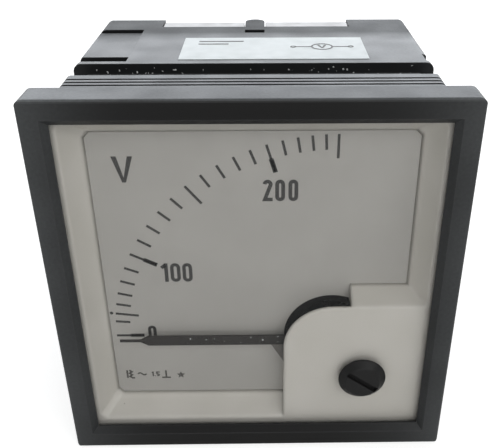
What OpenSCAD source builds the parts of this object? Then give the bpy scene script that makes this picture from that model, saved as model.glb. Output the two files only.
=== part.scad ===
// Square panel meter, 90 degree scale, moving-iron movement. Millimetres.
// +Z is up, the dial faces -Y, and the origin is the centre of the plane where the bezel
// seats on the panel. Each piece is one module, drawn where it sits in the finished meter.

/* [Bezel] */
// Side of the square bezel
front_size = 72; // [66:1:84]
// Depth of the bezel in front of the panel
bezel_depth = 6; // [5.5:0.25:8]
// Width of the bezel's rim, from its outer edge to the window
rim_w = 4.4; // [4:0.1:4.8]
// How far the bezel overhangs the housing on each side
overhang = 2.7; // [2.5:0.1:3]
// Radius of the bezel's four corners
bezel_corner_r = 1.3; // [0.5:0.1:2.5]
// Rounding of the bezel's front outer edge
bezel_edge_r = 0.5; // [0.2:0.1:0.8]
// Depth of the sloping inner edge of the bezel
bevel_depth = 1.25; // [0.8:0.05:1.6]
// Width of the sloping inner edge, seen from the front
bevel_width = 1.1; // [0.5:0.1:1.6]
// Straight land behind the sloping edge
lip_land = 0.25; // [0.2:0.05:0.5]

/* [Window pane] */
// Thickness of the window pane
pane_t = 1.6; // [1.2:0.1:2]

/* [Housing] */
// Wall of the front housing, the ribbed sleeve
sleeve_wall = 1.6; // [1.3:0.1:1.8]
// Depth of the front housing behind the panel seat
sleeve_depth = 15.7; // [14.5:0.1:18]
// How far the rear case stands proud of the front housing
case_step = 0.2; // [0:0.1:0.4]
// Wall of the rear case
case_wall = 1.8; // [1.7:0.1:2.4]
// Radius of the rear case's long corners
case_corner_r = 1.5; // [0.5:0.1:2.5]
// Gap between the front housing and the shoulder of the rear case
channel_w = 5.6; // [4:0.1:8]
// Depth of the whole body behind the panel seat
body_depth = 55; // [53:0.5:62]
// Depth of the fine grooves round the front housing
rib_groove = 0.5; // [0.2:0.05:0.6]
// Spacing of the fine grooves
rib_pitch = 1.65; // [1.3:0.05:1.9]
// Width of the fine grooves
rib_gap = 0.7; // [0.4:0.05:0.9]

/* [Clamp seats] */
// Width of each clamp seat, measured from the corner
seat_w = 9.6; // [7:0.1:11]
// Length of each clamp seat along the body
seat_l = 23.6; // [18:0.1:24]
// Depth of the hooking slots at the seat's ends
seat_slot_depth = 1.3; // [0.6:0.1:1.4]
// Depth of the seat between its slots
seat_depth = 0.4; // [0.2:0.1:0.6]

/* [Rear cover] */
// Thickness of the rear cover
cover_t = 2; // [1.6:0.1:2.6]
// Distance from the rear edge of the case to the cover's inner face
cover_inset = 6.2; // [5.5:0.1:8]
// Width of the case's latch tongue
tongue_w = 4.2; // [3:0.1:6]
// Widths of the notches to the left and the right of the tongue
notch_left = 18; // [12:0.1:18.2]
notch_right = 18.4; // [12:0.1:18.5]

/* [Dial] */
// Depth of the dial face behind the front of the bezel
dial_depth = 7.4; // [7.2:0.1:8]
// Thickness of the dial plate
dial_t = 0.6; // [0.4:0.1:0.9]
// Width of the sloping surround, from the window's edge to the dial
surround_w = 3.6; // [3.2:0.1:4]
// Pivot's distance from the right edge of the dial's opening
pivot_right = 13.75; // [13:0.05:15]
// Pivot's distance from the lower edge of the dial's opening
pivot_up = 14.1; // [13.6:0.05:15]
// Space between the scale marks and the upper edge of the opening
scale_margin = 0.75; // [0.4:0.05:3]
// Radius of the pointer's opening in the dial
eye_r = 9; // [8.6:0.05:9.2]
// Value at the end of the scale
scale_end = 250; // [100:50:250]

/* [Pointer] */
// Width of the pointer's broad bar
bar_w = 2.2; // [1.2:0.1:2.4]
// Width of the pointer's fine tip
tip_w = 0.5; // [0.3:0.1:0.8]
// How far the pointer's tip stops short of the marks' outer ends
tip_short = 0.75; // [0.2:0.05:3]
// Length of the fine tip
tip_len = 3.9; // [2:0.1:6]
// Thickness of the pointer's sheet
pointer_t = 0.25; // [0.2:0.05:0.35]
// Height of the pointer above the dial face
pointer_lift = 1.9; // [1.7:0.1:2.1]

/* [Zero adjustment] */
// Diameter of the zero screw's head
screw_head_d = 9.04; // [8.4:0.02:9.6]
// Distance from the pivot to the zero screw's axis
screw_dist = 8.6; // [8.4:0.05:8.9]
// Eccentricity of the zero screw's pin
pin_offset = 0.7; // [0.4:0.05:0.8]

/* [Movement] */
// Outer radius of the coil bobbin's flanges
bobbin_r = 13.4; // [13.2:0.1:13.8]
// Inner radius of the bobbin's bore
bore_r = 6; // [5.8:0.1:6.4]
// Length of the bobbin
bobbin_l = 19.2; // [17:0.2:21]
// Radius of the spindle
spindle_r = 0.5; // [0.4:0.05:0.6]

/* [Terminals] */
// Distance between the two terminal studs
stud_spacing = 30; // [24:0.5:34]
// Outer radius of the stud's thread
stud_r = 2; // [1.9:0.05:2.1]
// Free length of each stud behind its nut
stud_free = 6; // [4:0.5:8]
// Width across the flats of the stud's nut
nut_af = 7; // [6.5:0.1:8]
// Thickness of the nut
nut_t = 3.2; // [2.4:0.1:4]
// Diameter of the washer under the nut
washer_d = 9; // [8.5:0.1:9.6]
// Thickness of the washer
washer_t = 0.8; // [0.5:0.1:1]
// Width of the stud's square head inside the case
head_w = 6.4; // [6:0.1:7]
// Thickness of the stud's square head
head_l = 2.4; // [1.6:0.1:3]
// Thickness of the solder lug
lug_t = 0.6; // [0.4:0.1:0.8]
// Reach of the solder lug above the stud
lug_reach = 8; // [7:0.5:10]

/* [Hidden] */
$fn = 64;

// clearances, by what they are for
slip = 0.2;       // one moulding sliding into another
loose = 0.1;      // a part dropped into its place
turn_clear = 0.05; // a turning part in its hole
eps = 0.01;
far = 60;         // longer than any cut needs

// planes along the body, from front to back
y_front = -bezel_depth;
y_pane = y_front + bevel_depth + lip_land;
y_rim = y_pane + pane_t;
flange_t = 1;
y_sleeve = y_rim + flange_t;
y_dial = y_front + dial_depth;
y_frame = y_dial + dial_t;
frame_t = 2;
y_neck = y_frame + frame_t;
y_shoulder = sleeve_depth + channel_w;
y_rear = body_depth;
y_cover = y_rear - cover_inset;

// half sizes of the nested squares, from the bezel inwards
front_h = front_size / 2;
window_h = front_h - rim_w;
opening_h = window_h - surround_w;
sleeve_h = front_h - overhang;
sleeve_in = sleeve_h - sleeve_wall;
cavity_h = sleeve_h + slip;
pane_h = sleeve_h - loose;
skirt_h = sleeve_in - slip;
neck_h = sleeve_in - slip;
neck_in = neck_h - 1.6;
frame_h = neck_h - slip;
dial_h = frame_h;
case_h = sleeve_h + case_step;
case_in = case_h - case_wall;
cover_h = case_in - slip;

// the pointer's axis and the pivot cover
ax = opening_h - pivot_right;
az = pivot_up - opening_h;
scale_r = opening_h - az - scale_margin;
pointer_len = scale_r - tip_short;
hood_r = eye_r + 0.15;
hood_t = 0.9;
hood_step = ax + 3.3;
hood_foot = az - 6.8;

// the zero screw, down and to the right of the pivot
screw_dir = -47.1;
screw_x = ax + screw_dist * cos(screw_dir);
screw_z = az + screw_dist * sin(screw_dir);
neck_r = 2.4;
head_t = 1.36;
head_slope = 1.15;
pin_r = 0.45;

// planes of the movement, in front of and behind the dial
y_bar = y_dial - pointer_lift;
y_bridge = y_dial - 2.2;
bridge_t = 1;
y_boss_end = y_bridge + bridge_t + 0.7;
y_lever = y_bridge + bridge_t + 0.15;
lever_t = 0.35;
y_hub = y_dial + 0.5;
y_cross = y_hub + pointer_t + 0.2;
cross_t = 0.25;
y_spring = y_cross + cross_t + 0.3;
spring_h = 0.4;
y_bobbin = y_neck;
y_bobbin_end = y_bobbin + bobbin_l;
y_lid = y_bobbin_end;
lid_t = 0.7;
y_cup = y_lid + lid_t;
cup_l = 5.5;
y_cup_end = y_cup + cup_l;
hub_r = 1.2;
boss_r = 2.2;
ring_r = 3.4;
jewel_r = 1.25;

// ---- building blocks ---------------------------------------------------------------

// A flat outline, drawn as (x, z), extruded from y0 to y1.
module along_y(y0, y1) {
    translate([0, y1, 0]) rotate([90, 0, 0]) linear_extrude(y1 - y0) children();
}

// A round bar along Y.
module rod(r, y0, y1, x = ax, z = az) {
    translate([x, y1, z]) rotate([90, 0, 0]) cylinder(r = r, h = y1 - y0);
}

// A cone along Y, of radius r0 at y0 and r1 at y1.
module cone(r0, r1, y0, y1, x = ax, z = az) {
    translate([x, y1, z]) rotate([90, 0, 0]) cylinder(r1 = r1, r2 = r0, h = y1 - y0);
}

// A turned part along Y, from a profile of (radius, y) points.
module turned(profile, x = ax, z = az) {
    translate([x, 0, z]) rotate([-90, 0, 0]) rotate_extrude() polygon(profile);
}

// A square with rounded corners, of half size h.
module round_square(h, r) {
    square([2 * h, 2 * (h - r)], center = true);
    square([2 * (h - r), 2 * h], center = true);
    for (sx = [-1, 1], sz = [-1, 1])
        translate([sx * (h - r), sz * (h - r)]) circle(r);
}

// A square tube along Y, of half sizes outer and inner.
module square_tube(outer, inner, y0, y1, r = 0.8) {
    along_y(y0, y1) difference() {
        round_square(outer, r);
        round_square(inner, 0.4);
    }
}

// Four mitred bars with one section, given as (y, height from the centre).
module mitred_ring(section) {
    for (turn = [0, 90, 180, 270]) rotate([0, turn, 0]) intersection() {
        rotate([90, 0, 90]) linear_extrude(2 * far, center = true) polygon(section);
        along_y(-far, far) polygon([[0, 0], [far, far], [-far, far]]);
    }
}

// What one side has, repeated on all four.
module on_four_sides() {
    for (turn = [0, 90, 180, 270]) rotate([0, turn, 0]) children();
}

// Places a child drawn at the pivot along +X so that it points at the given angle.
module at_pivot(angle) {
    translate([ax, 0, az]) rotate([0, -angle, 0]) children();
}

// The path through the given points with each corner rounded off over a length b.
function unit(v) = v / norm(v);
function rounded(p, b) = concat([p[0]], [for (i = [1 : len(p) - 2])
    let (back = b * unit(p[i - 1] - p[i]), on = b * unit(p[i + 1] - p[i]))
    each [p[i] + back, p[i] + (back + on) / 4, p[i] + on]], [p[len(p) - 1]]);

// Direction of a path at point i, and a direction across it that never twists.
function along(p, i) = let (n = len(p) - 1)
    unit((i < n ? unit(p[i + 1] - p[i]) : [0, 0, 0]) + (i > 0 ? unit(p[i] - p[i - 1]) : [0, 0, 0]));
function across(p, i) = let (t = along(p, i),
    s = i > 0 ? across(p, i - 1) : abs(t.z) < 0.9 ? [0, 0, 1] : [1, 0, 0]) unit(s - (s * t) * t);

// A piece of round wire through the given points.
module wire(points, r, sides = 8) {
    path = rounded(points, 1);
    n = len(path);
    rings = [for (i = [0 : n - 1]) let (t = along(path, i), u = across(path, i), v = cross(t, u))
        for (k = [0 : sides - 1])
            path[i] + r * (cos(360 * k / sides) * u + sin(360 * k / sides) * v)];
    walls = [for (i = [0 : n - 2]) for (k = [0 : sides - 1]) let (next = (k + 1) % sides)
        [i * sides + k, (i + 1) * sides + k, (i + 1) * sides + next, i * sides + next]];
    polyhedron(rings, concat(walls, [[for (k = [0 : sides - 1]) k]],
        [[for (k = [sides - 1 : -1 : 0]) (n - 1) * sides + k]]));
}

// A screw along Y with a slotted pan head towards the front.
module slotted_screw(r, head_r, head_h, y_head, y_end, x, z, slot_turn = 30) {
    difference() {
        union() {
            rod(head_r, y_head, y_head + head_h, x, z);
            rod(r, y_head + head_h, y_end, x, z);
        }
        translate([x, y_head, z]) rotate([0, slot_turn, 0])
            cube([2 * head_r + 1, head_h, head_r * 0.32], center = true);
    }
}

// ---- front ---------------------------------------------------------------------------

// Black frame that holds the pane and seats on the panel.
snap_y = y_sleeve + 0.3;
snap_l = 0.9;
snap_w = 8;
snap_rise = 0.3;

module bezel() color([0.14, 0.14, 0.14]) difference() {
    e = bezel_edge_r;
    intersection() {
        mitred_ring(concat(
            [[0, cavity_h], [0, front_h]],
            [for (a = [0, 30, 60, 90]) [y_front + e - e * sin(a), front_h - e + e * cos(a)]],
            [[y_front, window_h + bevel_width], [y_front + bevel_depth, window_h],
             [y_pane, window_h], [y_pane, cavity_h]]));
        along_y(y_front - 1, 1) round_square(front_h, bezel_corner_r);
    }
    // pockets for the housing's snap lugs
    on_four_sides() translate([-snap_w / 2 - slip, snap_y - 0.15, cavity_h - eps])
        cube([snap_w + 2 * slip, snap_l + 0.3, snap_rise + 0.3]);
}

module window_pane() color([0.85, 0.9, 0.92, 0.3]) difference() {
    along_y(y_pane, y_rim) round_square(pane_h, 0.8);
    rod(neck_r + turn_clear, y_pane - 1, y_rim + 1, screw_x, screw_z);
}

// Plan of the pivot cover, drawn in by inset. Round where the pointer comes out.
module hood_plan(inset = 0) {
    translate([ax, az]) circle(hood_r - inset);
    translate([ax - hood_r + inset, -skirt_h]) square([hood_r, skirt_h + az]);
    translate([ax, -skirt_h]) square([skirt_h - ax, skirt_h + az + hood_r - inset]);
}

// White frame round the dial, with the pivot cover in its lower right corner.
slope_top = az + hood_r;
slope_run = 2.45;

module dial_surround() color([0.93, 0.93, 0.9]) {
    rim_h = window_h - 0.3;
    cove = [for (i = [0 : 5]) let (t = i / 5)
        [y_dial + (y_rim - y_dial) * t, opening_h + (rim_h - opening_h) * pow(t, 0.8)]];
    corner = [for (p = cove) [p.x, p.y * sqrt(2) - 0.7]];
    difference() {
        union() {
            mitred_ring(concat(cove, [[y_rim, pane_h], [y_sleeve, pane_h], [y_sleeve, skirt_h],
                [y_dial, skirt_h]]));
            // chamfers down the corners of the opening
            on_four_sides() rotate([0, 45, 0]) rotate([90, 0, 90])
                linear_extrude(2, center = true) polygon(concat(corner,
                    [[y_rim, corner[5].y + 0.4], [y_dial, corner[0].y + 3]]));
            difference() {
                along_y(y_rim, y_dial) hood_plan();
                along_y(y_rim + hood_t, y_dial + 1) hood_plan(hood_t);
            }
            hood_slope();
        }
        // opening under the cover, where the pointer sweeps
        translate([ax - hood_r - 1, y_rim + hood_t, hood_foot])
            cube([hood_step - ax + hood_r + 1, far, slope_top - hood_foot + 1]);
        hood_undercut();
        rod(neck_r + 0.8, y_rim - 1, y_rim + hood_t + eps, screw_x, screw_z);
    }
}

// Thins the cover's free edge from behind, along its left side, round corner and top.
module hood_undercut() {
    y0 = y_rim + 0.35;
    y1 = y_rim + hood_t + eps;
    run = 0.55;
    intersection() {
        turned([[hood_r + eps, y0], [hood_r + eps, y1], [hood_r - run, y1]]);
        translate([ax - far, -far, az]) cube([far, 2 * far, far]);
    }
    translate([ax, 0, slope_top]) rotate([90, 0, 90]) linear_extrude(hood_step - ax)
        polygon([[y0, eps], [y1, eps], [y1, -run]]);
    translate([ax - hood_r, 0, hood_foot]) linear_extrude(az - hood_foot)
        polygon([[-eps, y0], [-eps, y1], [run, y1]]);
}

// The upper right of the cover slopes down to the dial.
module hood_slope() {
    difference() {
        translate([hood_step, 0, 0]) rotate([90, 0, 90]) linear_extrude(skirt_h - hood_step)
            polygon([[y_rim, slope_top - 1], [y_rim, slope_top], [y_dial, slope_top + slope_run],
                [y_dial, slope_top - 1]]);
        translate([hood_step + hood_t, 0, -eps]) rotate([90, 0, 90])
            linear_extrude(skirt_h - hood_step)
            polygon([[y_rim + hood_t, slope_top - 2], [y_rim + hood_t, slope_top - 0.5],
                [y_dial + eps, slope_top + slope_run - 1.05], [y_dial + eps, slope_top - 2]]);
    }
}

// ---- housing -------------------------------------------------------------------------

catch_y = 8;
chamfer = 0.7;

// Black sleeve between the bezel and the rear case, with fine grooves behind the bezel.
module front_housing() color([0.16, 0.16, 0.17]) {
    difference() {
        square_tube(sleeve_h, sleeve_in, y_sleeve, sleeve_depth, 1);
        for (i = [0 : 4]) translate([0, sleeve_depth - 3.4 - i * rib_pitch, 0])
            square_tube(sleeve_h + 1, sleeve_h - rib_groove, 0, rib_gap);
        mitred_ring([[sleeve_depth - chamfer, sleeve_h + eps], [sleeve_depth - chamfer, far],
            [sleeve_depth + eps, far], [sleeve_depth + eps, sleeve_h - chamfer]]);
        // inner pockets that catch the rear case
        on_four_sides() translate([-snap_w / 2 - slip, catch_y - 0.2, sleeve_in - 0.3])
            cube([snap_w + 2 * slip, 1.6, 0.3 + 0.55]);
    }
    // lugs that snap into the bezel
    on_four_sides() translate([-snap_w / 2, 0, 0]) rotate([90, 0, 90]) linear_extrude(snap_w)
        polygon([[snap_y, sleeve_h - eps], [snap_y + snap_l * 0.6, cavity_h + snap_rise],
            [snap_y + snap_l, cavity_h + snap_rise], [snap_y + snap_l, sleeve_h - eps]]);
}

tongue_x = -0.2;
latch_y = y_cover - 5.1;
latch_l = 2.4;
ledge_w = 3;
ledge_l = 4;

// Black box that holds the movement. Its neck slides into the front housing.
module rear_case() color([0.17, 0.17, 0.18]) {
    difference() {
        union() {
            along_y(y_shoulder, y_rear) round_square(case_h, case_corner_r);
            along_y(y_neck, y_shoulder + 1) round_square(neck_h, 0.8);
        }
        along_y(y_neck - 1, y_shoulder + case_wall) round_square(neck_in, 0.4);
        along_y(y_shoulder + case_wall, y_rear + 1) round_square(case_in, 0.6);
        for (turn = [0, 180]) rotate([0, turn, 0]) rear_notches();
        on_four_sides() clamp_seat();
    }
    // catches for the front housing
    on_four_sides() translate([-snap_w / 2, 0, 0]) rotate([90, 0, 90]) linear_extrude(snap_w)
        polygon([[catch_y, neck_h - eps], [catch_y + 1.1, neck_h + slip + 0.3],
            [catch_y + 1.2, neck_h + slip + 0.3], [catch_y + 1.2, neck_h - eps]]);
    for (turn = [0, 180]) rotate([0, turn, 0]) latch_tongue();
    // ledges that stop the rear cover
    for (sx = [0, 1], sz = [0, 1]) mirror([sx, 0, 0]) mirror([0, 0, sz])
        translate([case_in - ledge_w, y_cover - ledge_l, case_in - ledge_l - ledge_w])
            cube([ledge_w + eps, ledge_l, ledge_w]);
}

// Wide notch in the rear edge, and the latch window in front of it.
module rear_notches() {
    translate([tongue_x - tongue_w / 2 - notch_left, y_cover, case_in - 1])
        cube([notch_left + tongue_w + notch_right, far, case_wall + 2]);
    translate([tongue_x - tongue_w / 2, latch_y, case_in - 1])
        cube([tongue_w, latch_l, case_wall + 2]);
}

// Latch tongue with a rounded end, standing in the middle of the notch.
module latch_tongue() {
    end_y = y_rear + 0.5 - tongue_w / 2;
    translate([tongue_x - tongue_w / 2, y_cover - 0.5, case_in])
        cube([tongue_w, end_y - y_cover + 0.5, case_wall]);
    translate([tongue_x, end_y, case_in]) cylinder(r = tongue_w / 2, h = case_wall);
}

// Shallow seat with a hooking slot at each end, where a panel clamp grips.
module clamp_seat() {
    seat_y = y_shoulder + 1.5;
    hook_l = 4.2;
    stop_l = 1.3;
    translate([-case_h - 1, seat_y, case_h - seat_depth])
        cube([seat_w + 1, seat_l, 2]);
    translate([-case_h - 1, seat_y, case_h - seat_slot_depth])
        cube([seat_w + 1, hook_l, 2]);
    translate([-case_h - 1, seat_y + seat_l - stop_l, case_h - seat_slot_depth * 0.7])
        cube([seat_w + 1, stop_l, 2]);
}

// Pale plate that closes the case and carries the terminals.
module rear_cover() color([0.74, 0.74, 0.76]) {
    rim_l = cover_t + 1;
    block_rise = 1.2;
    difference() {
        along_y(y_cover, y_cover + rim_l) round_square(cover_h, 0.5);
        along_y(y_cover + cover_t, y_cover + rim_l + 1) round_square(cover_h - 1.6, 0.5);
        for (side = [-1, 1])
            rod(stud_r + 0.05, y_cover - 1, y_cover + cover_t + 1, side * stud_spacing / 2, 0);
    }
    // raised collars round the terminals
    for (side = [-1, 1]) difference() {
        rod(washer_d / 2 + 1.7, y_cover + cover_t - eps, y_cover + rim_l,
            side * stud_spacing / 2, 0);
        rod(washer_d / 2 + 0.5, y_cover + cover_t - 1, y_cover + rim_l + 1,
            side * stud_spacing / 2, 0);
    }
    for (turn = [0, 180]) rotate([0, turn, 0]) {
        // blocks that fill the case's notches
        for (block = [[tongue_x - tongue_w / 2 - notch_left, notch_left],
                [tongue_x + tongue_w / 2, notch_right]])
            translate([block.x + slip, y_cover + slip, cover_h - 1])
                cube([block.y - 2 * slip, rim_l + block_rise - slip, case_h - cover_h + 0.9]);
        // hook that reaches forward under the tongue and up into its window
        translate([tongue_x - tongue_w / 2 + slip, latch_y + slip, cover_h - 1.2])
            cube([tongue_w - 2 * slip, y_cover - latch_y, 1.2]);
        translate([tongue_x - tongue_w / 2 + slip, latch_y + slip, cover_h - eps])
            cube([tongue_w - 2 * slip, latch_l - 2 * slip, case_wall - 0.4]);
    }
}

module rating_label() color([0.9, 0.92, 0.92]) {
    label_w = 36;
    label_l = 15.4;
    translate([3.7 - label_w / 2, y_shoulder + 2.4, case_h]) cube([label_w, label_l, 0.1]);
}

// ---- dial and pointer ------------------------------------------------------------------

// Angle of the pointer at a value, in degrees from the zero mark. A moving-iron movement
// starts slowly, because its force grows with the square of the current.
function scale_angle(value) = let (v = value / scale_end)
    v == 0 ? 0 : 90 * 1.972 * pow(v, 1.99) / (pow(v, 2.376) + 0.972);

mark_w = 0.36;
print_t = 0.04;

// One raised printed mark at a value, from radius r1 in to radius r0.
module mark(value, r0, r1, w) {
    at_pivot(180 - scale_angle(value))
        translate([r0, y_dial - print_t, -w / 2]) cube([r1 - r0, print_t + eps, w]);
}

module scale_marks() {
    for (step = [4 : 25])
        mark(step * scale_end / 25, scale_r - (step % 5 == 0 ? 4.2 : 2.6), scale_r, mark_w);
    // the numbered marks are longer, with a thick inner half
    for (step = [0, 10, 20]) {
        mark(step * scale_end / 25, scale_r - 5.1, scale_r, mark_w);
        mark(step * scale_end / 25, scale_r - 5.1, scale_r - 2.6, 2 * mark_w);
    }
}

leg_r = 1.7;
leg_dist = 11.4;
leg_angles = [-100, 10];
peg_r = 0.8;

module dial_plate() color([0.9, 0.9, 0.88]) {
    peg_x = (opening_h + dial_h) / 2;
    difference() {
        along_y(y_dial, y_frame) round_square(dial_h, 0.4);
        rod(eye_r, y_dial - 1, y_frame + 1);
        for (a = leg_angles) at_pivot(a)
            rod(leg_r + slip, y_dial - 1, y_frame + 1, leg_dist, 0);
        for (side = [-1, 1]) rod(peg_r + loose, y_dial - 1, y_frame + 1, side * peg_x, 0);
    }
    scale_marks();
}

// Blackened aluminium pointer: fine tip, broad bar, a flare at its root, and a crank down
// to the hub behind the dial.
crank_r = 6.6;

module pointer() color([0.1, 0.1, 0.1]) at_pivot(180) {
    bar_end = pointer_len - tip_len - 1.5;
    // blade, drawn in the plane of the dial with its root at the pivot
    along_y(y_bar, y_bar + pointer_t) polygon([
        [crank_r, bar_w / 2], [bar_end, bar_w / 2], [bar_end + 1.5, tip_w / 2],
        [pointer_len, tip_w / 2], [pointer_len, -tip_w / 2], [bar_end + 1.5, -tip_w / 2],
        [bar_end, -bar_w / 2], [crank_r, -bar_w / 2]]);
    // flare that stiffens the root, on the lower side of the bar
    along_y(y_bar + pointer_t, y_bar + 2 * pointer_t)
        polygon([[11.6, 0], [11.6, bar_w / 2], [9, 5.6], [5.6, 2.6], [crank_r + 0.3, 0]]);
    // crank
    translate([0, 0, -bar_w / 2]) linear_extrude(bar_w) polygon([
        [crank_r + 0.3, y_bar], [crank_r + 0.3, y_bar + pointer_t], [crank_r, y_bar + pointer_t],
        [ring_r, y_hub + pointer_t], [ring_r - 0.3, y_hub + pointer_t], [ring_r - 0.3, y_hub],
        [ring_r - 0.1, y_hub], [crank_r - 0.15, y_bar]]);
    difference() {
        union() {
            rod(2.4, y_hub, y_hub + pointer_t, 0, 0);
            translate([0, y_hub, -bar_w / 2]) cube([ring_r - 0.2, pointer_t, bar_w]);
        }
        rod(hub_r, y_hub - 1, y_hub + 1, 0, 0);
    }
}

// Brass sleeve on the spindle that carries the pointer, the balance cross and the spring.
module pointer_hub() color([0.78, 0.63, 0.33]) {
    y_end = y_spring + spring_h + 0.3;
    turned([[spindle_r, y_hub - 0.4], [hub_r, y_hub - 0.4], [hub_r, y_hub + pointer_t],
        [hub_r + 0.7, y_hub + pointer_t], [hub_r + 0.7, y_cross], [hub_r, y_cross],
        [hub_r, y_end], [spindle_r, y_end]]);
}

cone_l = 0.55;
y_tip = y_boss_end - 0.35;
y_tail = y_cup_end - 1.6;

// Steel spindle with a pointed pivot at each end.
module spindle() color([0.7, 0.7, 0.72]) {
    tip_r = 0.05;
    turned([[0, y_tip], [tip_r, y_tip], [spindle_r, y_tip + cone_l], [spindle_r, y_tail - cone_l],
        [tip_r, y_tail], [0, y_tail]]);
}

arm_w = 0.7;
module balance_cross() color([0.72, 0.72, 0.7]) difference() {
    union() {
        rod(2.4, y_cross, y_cross + cross_t);
        for (w = weights) at_pivot(w[0])
            translate([0, y_cross, -arm_w / 2]) cube([w[1] + w[2] + 0.2, cross_t, arm_w]);
    }
    rod(hub_r, y_cross - 1, y_cross + 1);
}

// Small brass barrels pushed on the two arms of the balance cross. They are set so that the
// moving system balances on its axis: [arm's angle, distance from the pivot, length].
weight_r = 1.1;
weights = [[0, 4.2, 3.4], [-90, 4, 0.9]];

module balance_weights() color([0.75, 0.6, 0.3]) {
    for (w = weights) at_pivot(w[0]) difference() {
        translate([w[1], y_cross + cross_t / 2, 0]) rotate([0, 90, 0])
            cylinder(r = weight_r, h = w[2]);
        translate([w[1] - 1, y_cross, -arm_w / 2]) cube([w[2] + 2, cross_t, arm_w]);
    }
}

// Flat spiral spring from the hub out to the stud of the zero lever.
stud_angle = 45;
spring_out = 4.2;
spring_turns = 4;
spring_t = 0.12;

module hair_spring() color([0.8, 0.66, 0.36]) {
    steps = 20 * spring_turns;
    radius = function (i) hub_r + (spring_out - hub_r) * i / steps;
    edge = function (i, side) let (a = stud_angle + 360 * spring_turns * i / steps,
        r = radius(i) + (side + 1) * spring_t / 2) [r * cos(a), r * sin(a)];
    translate([ax, 0, az]) along_y(y_spring, y_spring + spring_h)
        polygon(concat([for (i = [0 : steps]) edge(i, -1)], [for (i = [steps : -1 : 0]) edge(i, 1)]));
}

// ---- zero adjustment -------------------------------------------------------------------

// Black slotted screw in the window pane. Its eccentric pin turns the zero lever.
slot_w = 1.15;
slot_l = 6.8;
slot_depth = 0.85;
slot_turn = 36;

module zero_screw() color([0.12, 0.12, 0.12]) difference() {
    y_head = y_pane - head_t;
    face_r = screw_head_d / 2 - head_slope;
    stub_r = 1.4;
    union() {
        turned([[0, y_head], [face_r - 0.2, y_head], [face_r, y_head + 0.1],
            [screw_head_d / 2 - 0.08, y_pane - 0.22], [screw_head_d / 2, y_pane - 0.1],
            [screw_head_d / 2, y_pane], [neck_r, y_pane], [neck_r, y_rim], [clip_in, y_rim],
            [clip_in, y_rim + 0.6], [clip_in + 0.4, y_rim + 0.6], [clip_in + 0.4, y_rim + 1],
            [stub_r, y_rim + 1], [stub_r, y_bridge + 0.3], [0, y_bridge + 0.3]],
            screw_x, screw_z);
        at_pivot(screw_dir)
            rod(pin_r, y_bridge + 0.3, y_lever + lever_t + 0.25, screw_dist - pin_offset, 0);
    }
    translate([screw_x, y_pane - head_t, screw_z]) rotate([0, slot_turn, 0])
        cube([slot_l, 2 * slot_depth, slot_w], center = true);
}

// Steel clip behind the pane that keeps the zero screw in.
clip_in = 1.7;
module zero_screw_clip() color([0.75, 0.75, 0.76]) difference() {
    rod(neck_r + 0.55, y_rim, y_rim + 0.35, screw_x, screw_z);
    rod(clip_in + loose / 2, y_rim - 1, y_rim + 1, screw_x, screw_z);
}

// Brass lever on the bridge's boss. Its fork takes the zero screw's pin, and its stud holds
// the outer end of the hair spring.
module zero_lever() color([0.8, 0.65, 0.35]) {
    fork_r = screw_dist - pin_offset;
    difference() {
        union() {
            rod(ring_r, y_lever, y_lever + lever_t);
            at_pivot(screw_dir) translate([0, y_lever, -1.3])
                cube([fork_r + 0.8, lever_t, 2.6]);
            at_pivot(stud_angle) translate([0, y_lever, -0.5])
                cube([spring_out + spring_t + 0.7, lever_t, 1]);
        }
        rod(boss_r + turn_clear, y_lever - 1, y_lever + 1);
        at_pivot(screw_dir) translate([fork_r - pin_r - 0.15, y_lever - 1, -pin_r - 0.1])
            cube([far, 2, 2 * pin_r + 0.2]);
    }
    at_pivot(stud_angle) translate([spring_out + spring_t, y_lever, -0.5])
        cube([0.7, y_spring + spring_h - y_lever, 1]);
}

// ---- movement --------------------------------------------------------------------------

// Cast bridge in front of the hub, on two legs that stand on the movement frame.
module front_bridge() color([0.62, 0.63, 0.64]) difference() {
    union() {
        rod(ring_r, y_bridge, y_bridge + bridge_t);
        rod(boss_r, y_bridge, y_boss_end);
        for (a = leg_angles) at_pivot(a) {
            translate([0, y_bridge, -1.2]) cube([leg_dist, bridge_t, 2.4]);
            rod(leg_r, y_bridge, y_frame, leg_dist, 0);
        }
    }
    rod(jewel_r, y_bridge - 1, y_boss_end + 1);
    for (a = leg_angles) at_pivot(a) rod(0.9, y_bridge - 1, y_frame + 1, leg_dist, 0);
}

module bridge_screws() color([0.76, 0.76, 0.78]) {
    for (a = leg_angles) let (x = ax + leg_dist * cos(a), z = az + leg_dist * sin(a))
        slotted_screw(0.8, 1.6, 0.7, y_bridge - 0.7, y_neck - 0.2, x, z, a);
}

// Slotted screw with a cupped jewel at its inner end.
module jewel_screw(y0, y1, cup) {
    difference() {
        rod(jewel_r, y0, y1);
        if (cup > 0) cone(0.1, 0.55, y1 - 0.5, y1 + eps);
        else cone(0.55, 0.1, y0 - eps, y0 + 0.5);
        translate([ax, cup > 0 ? y0 : y1, az]) cube([3, 0.6, 0.35], center = true);
    }
}

module front_jewel_screw() color([0.8, 0.68, 0.4])
    jewel_screw(y_bridge - 0.6, y_boss_end, 1);

module rear_jewel_screw() color([0.8, 0.68, 0.4])
    jewel_screw(y_tail - 0.35, y_cup_end + 0.9, -1);

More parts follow.
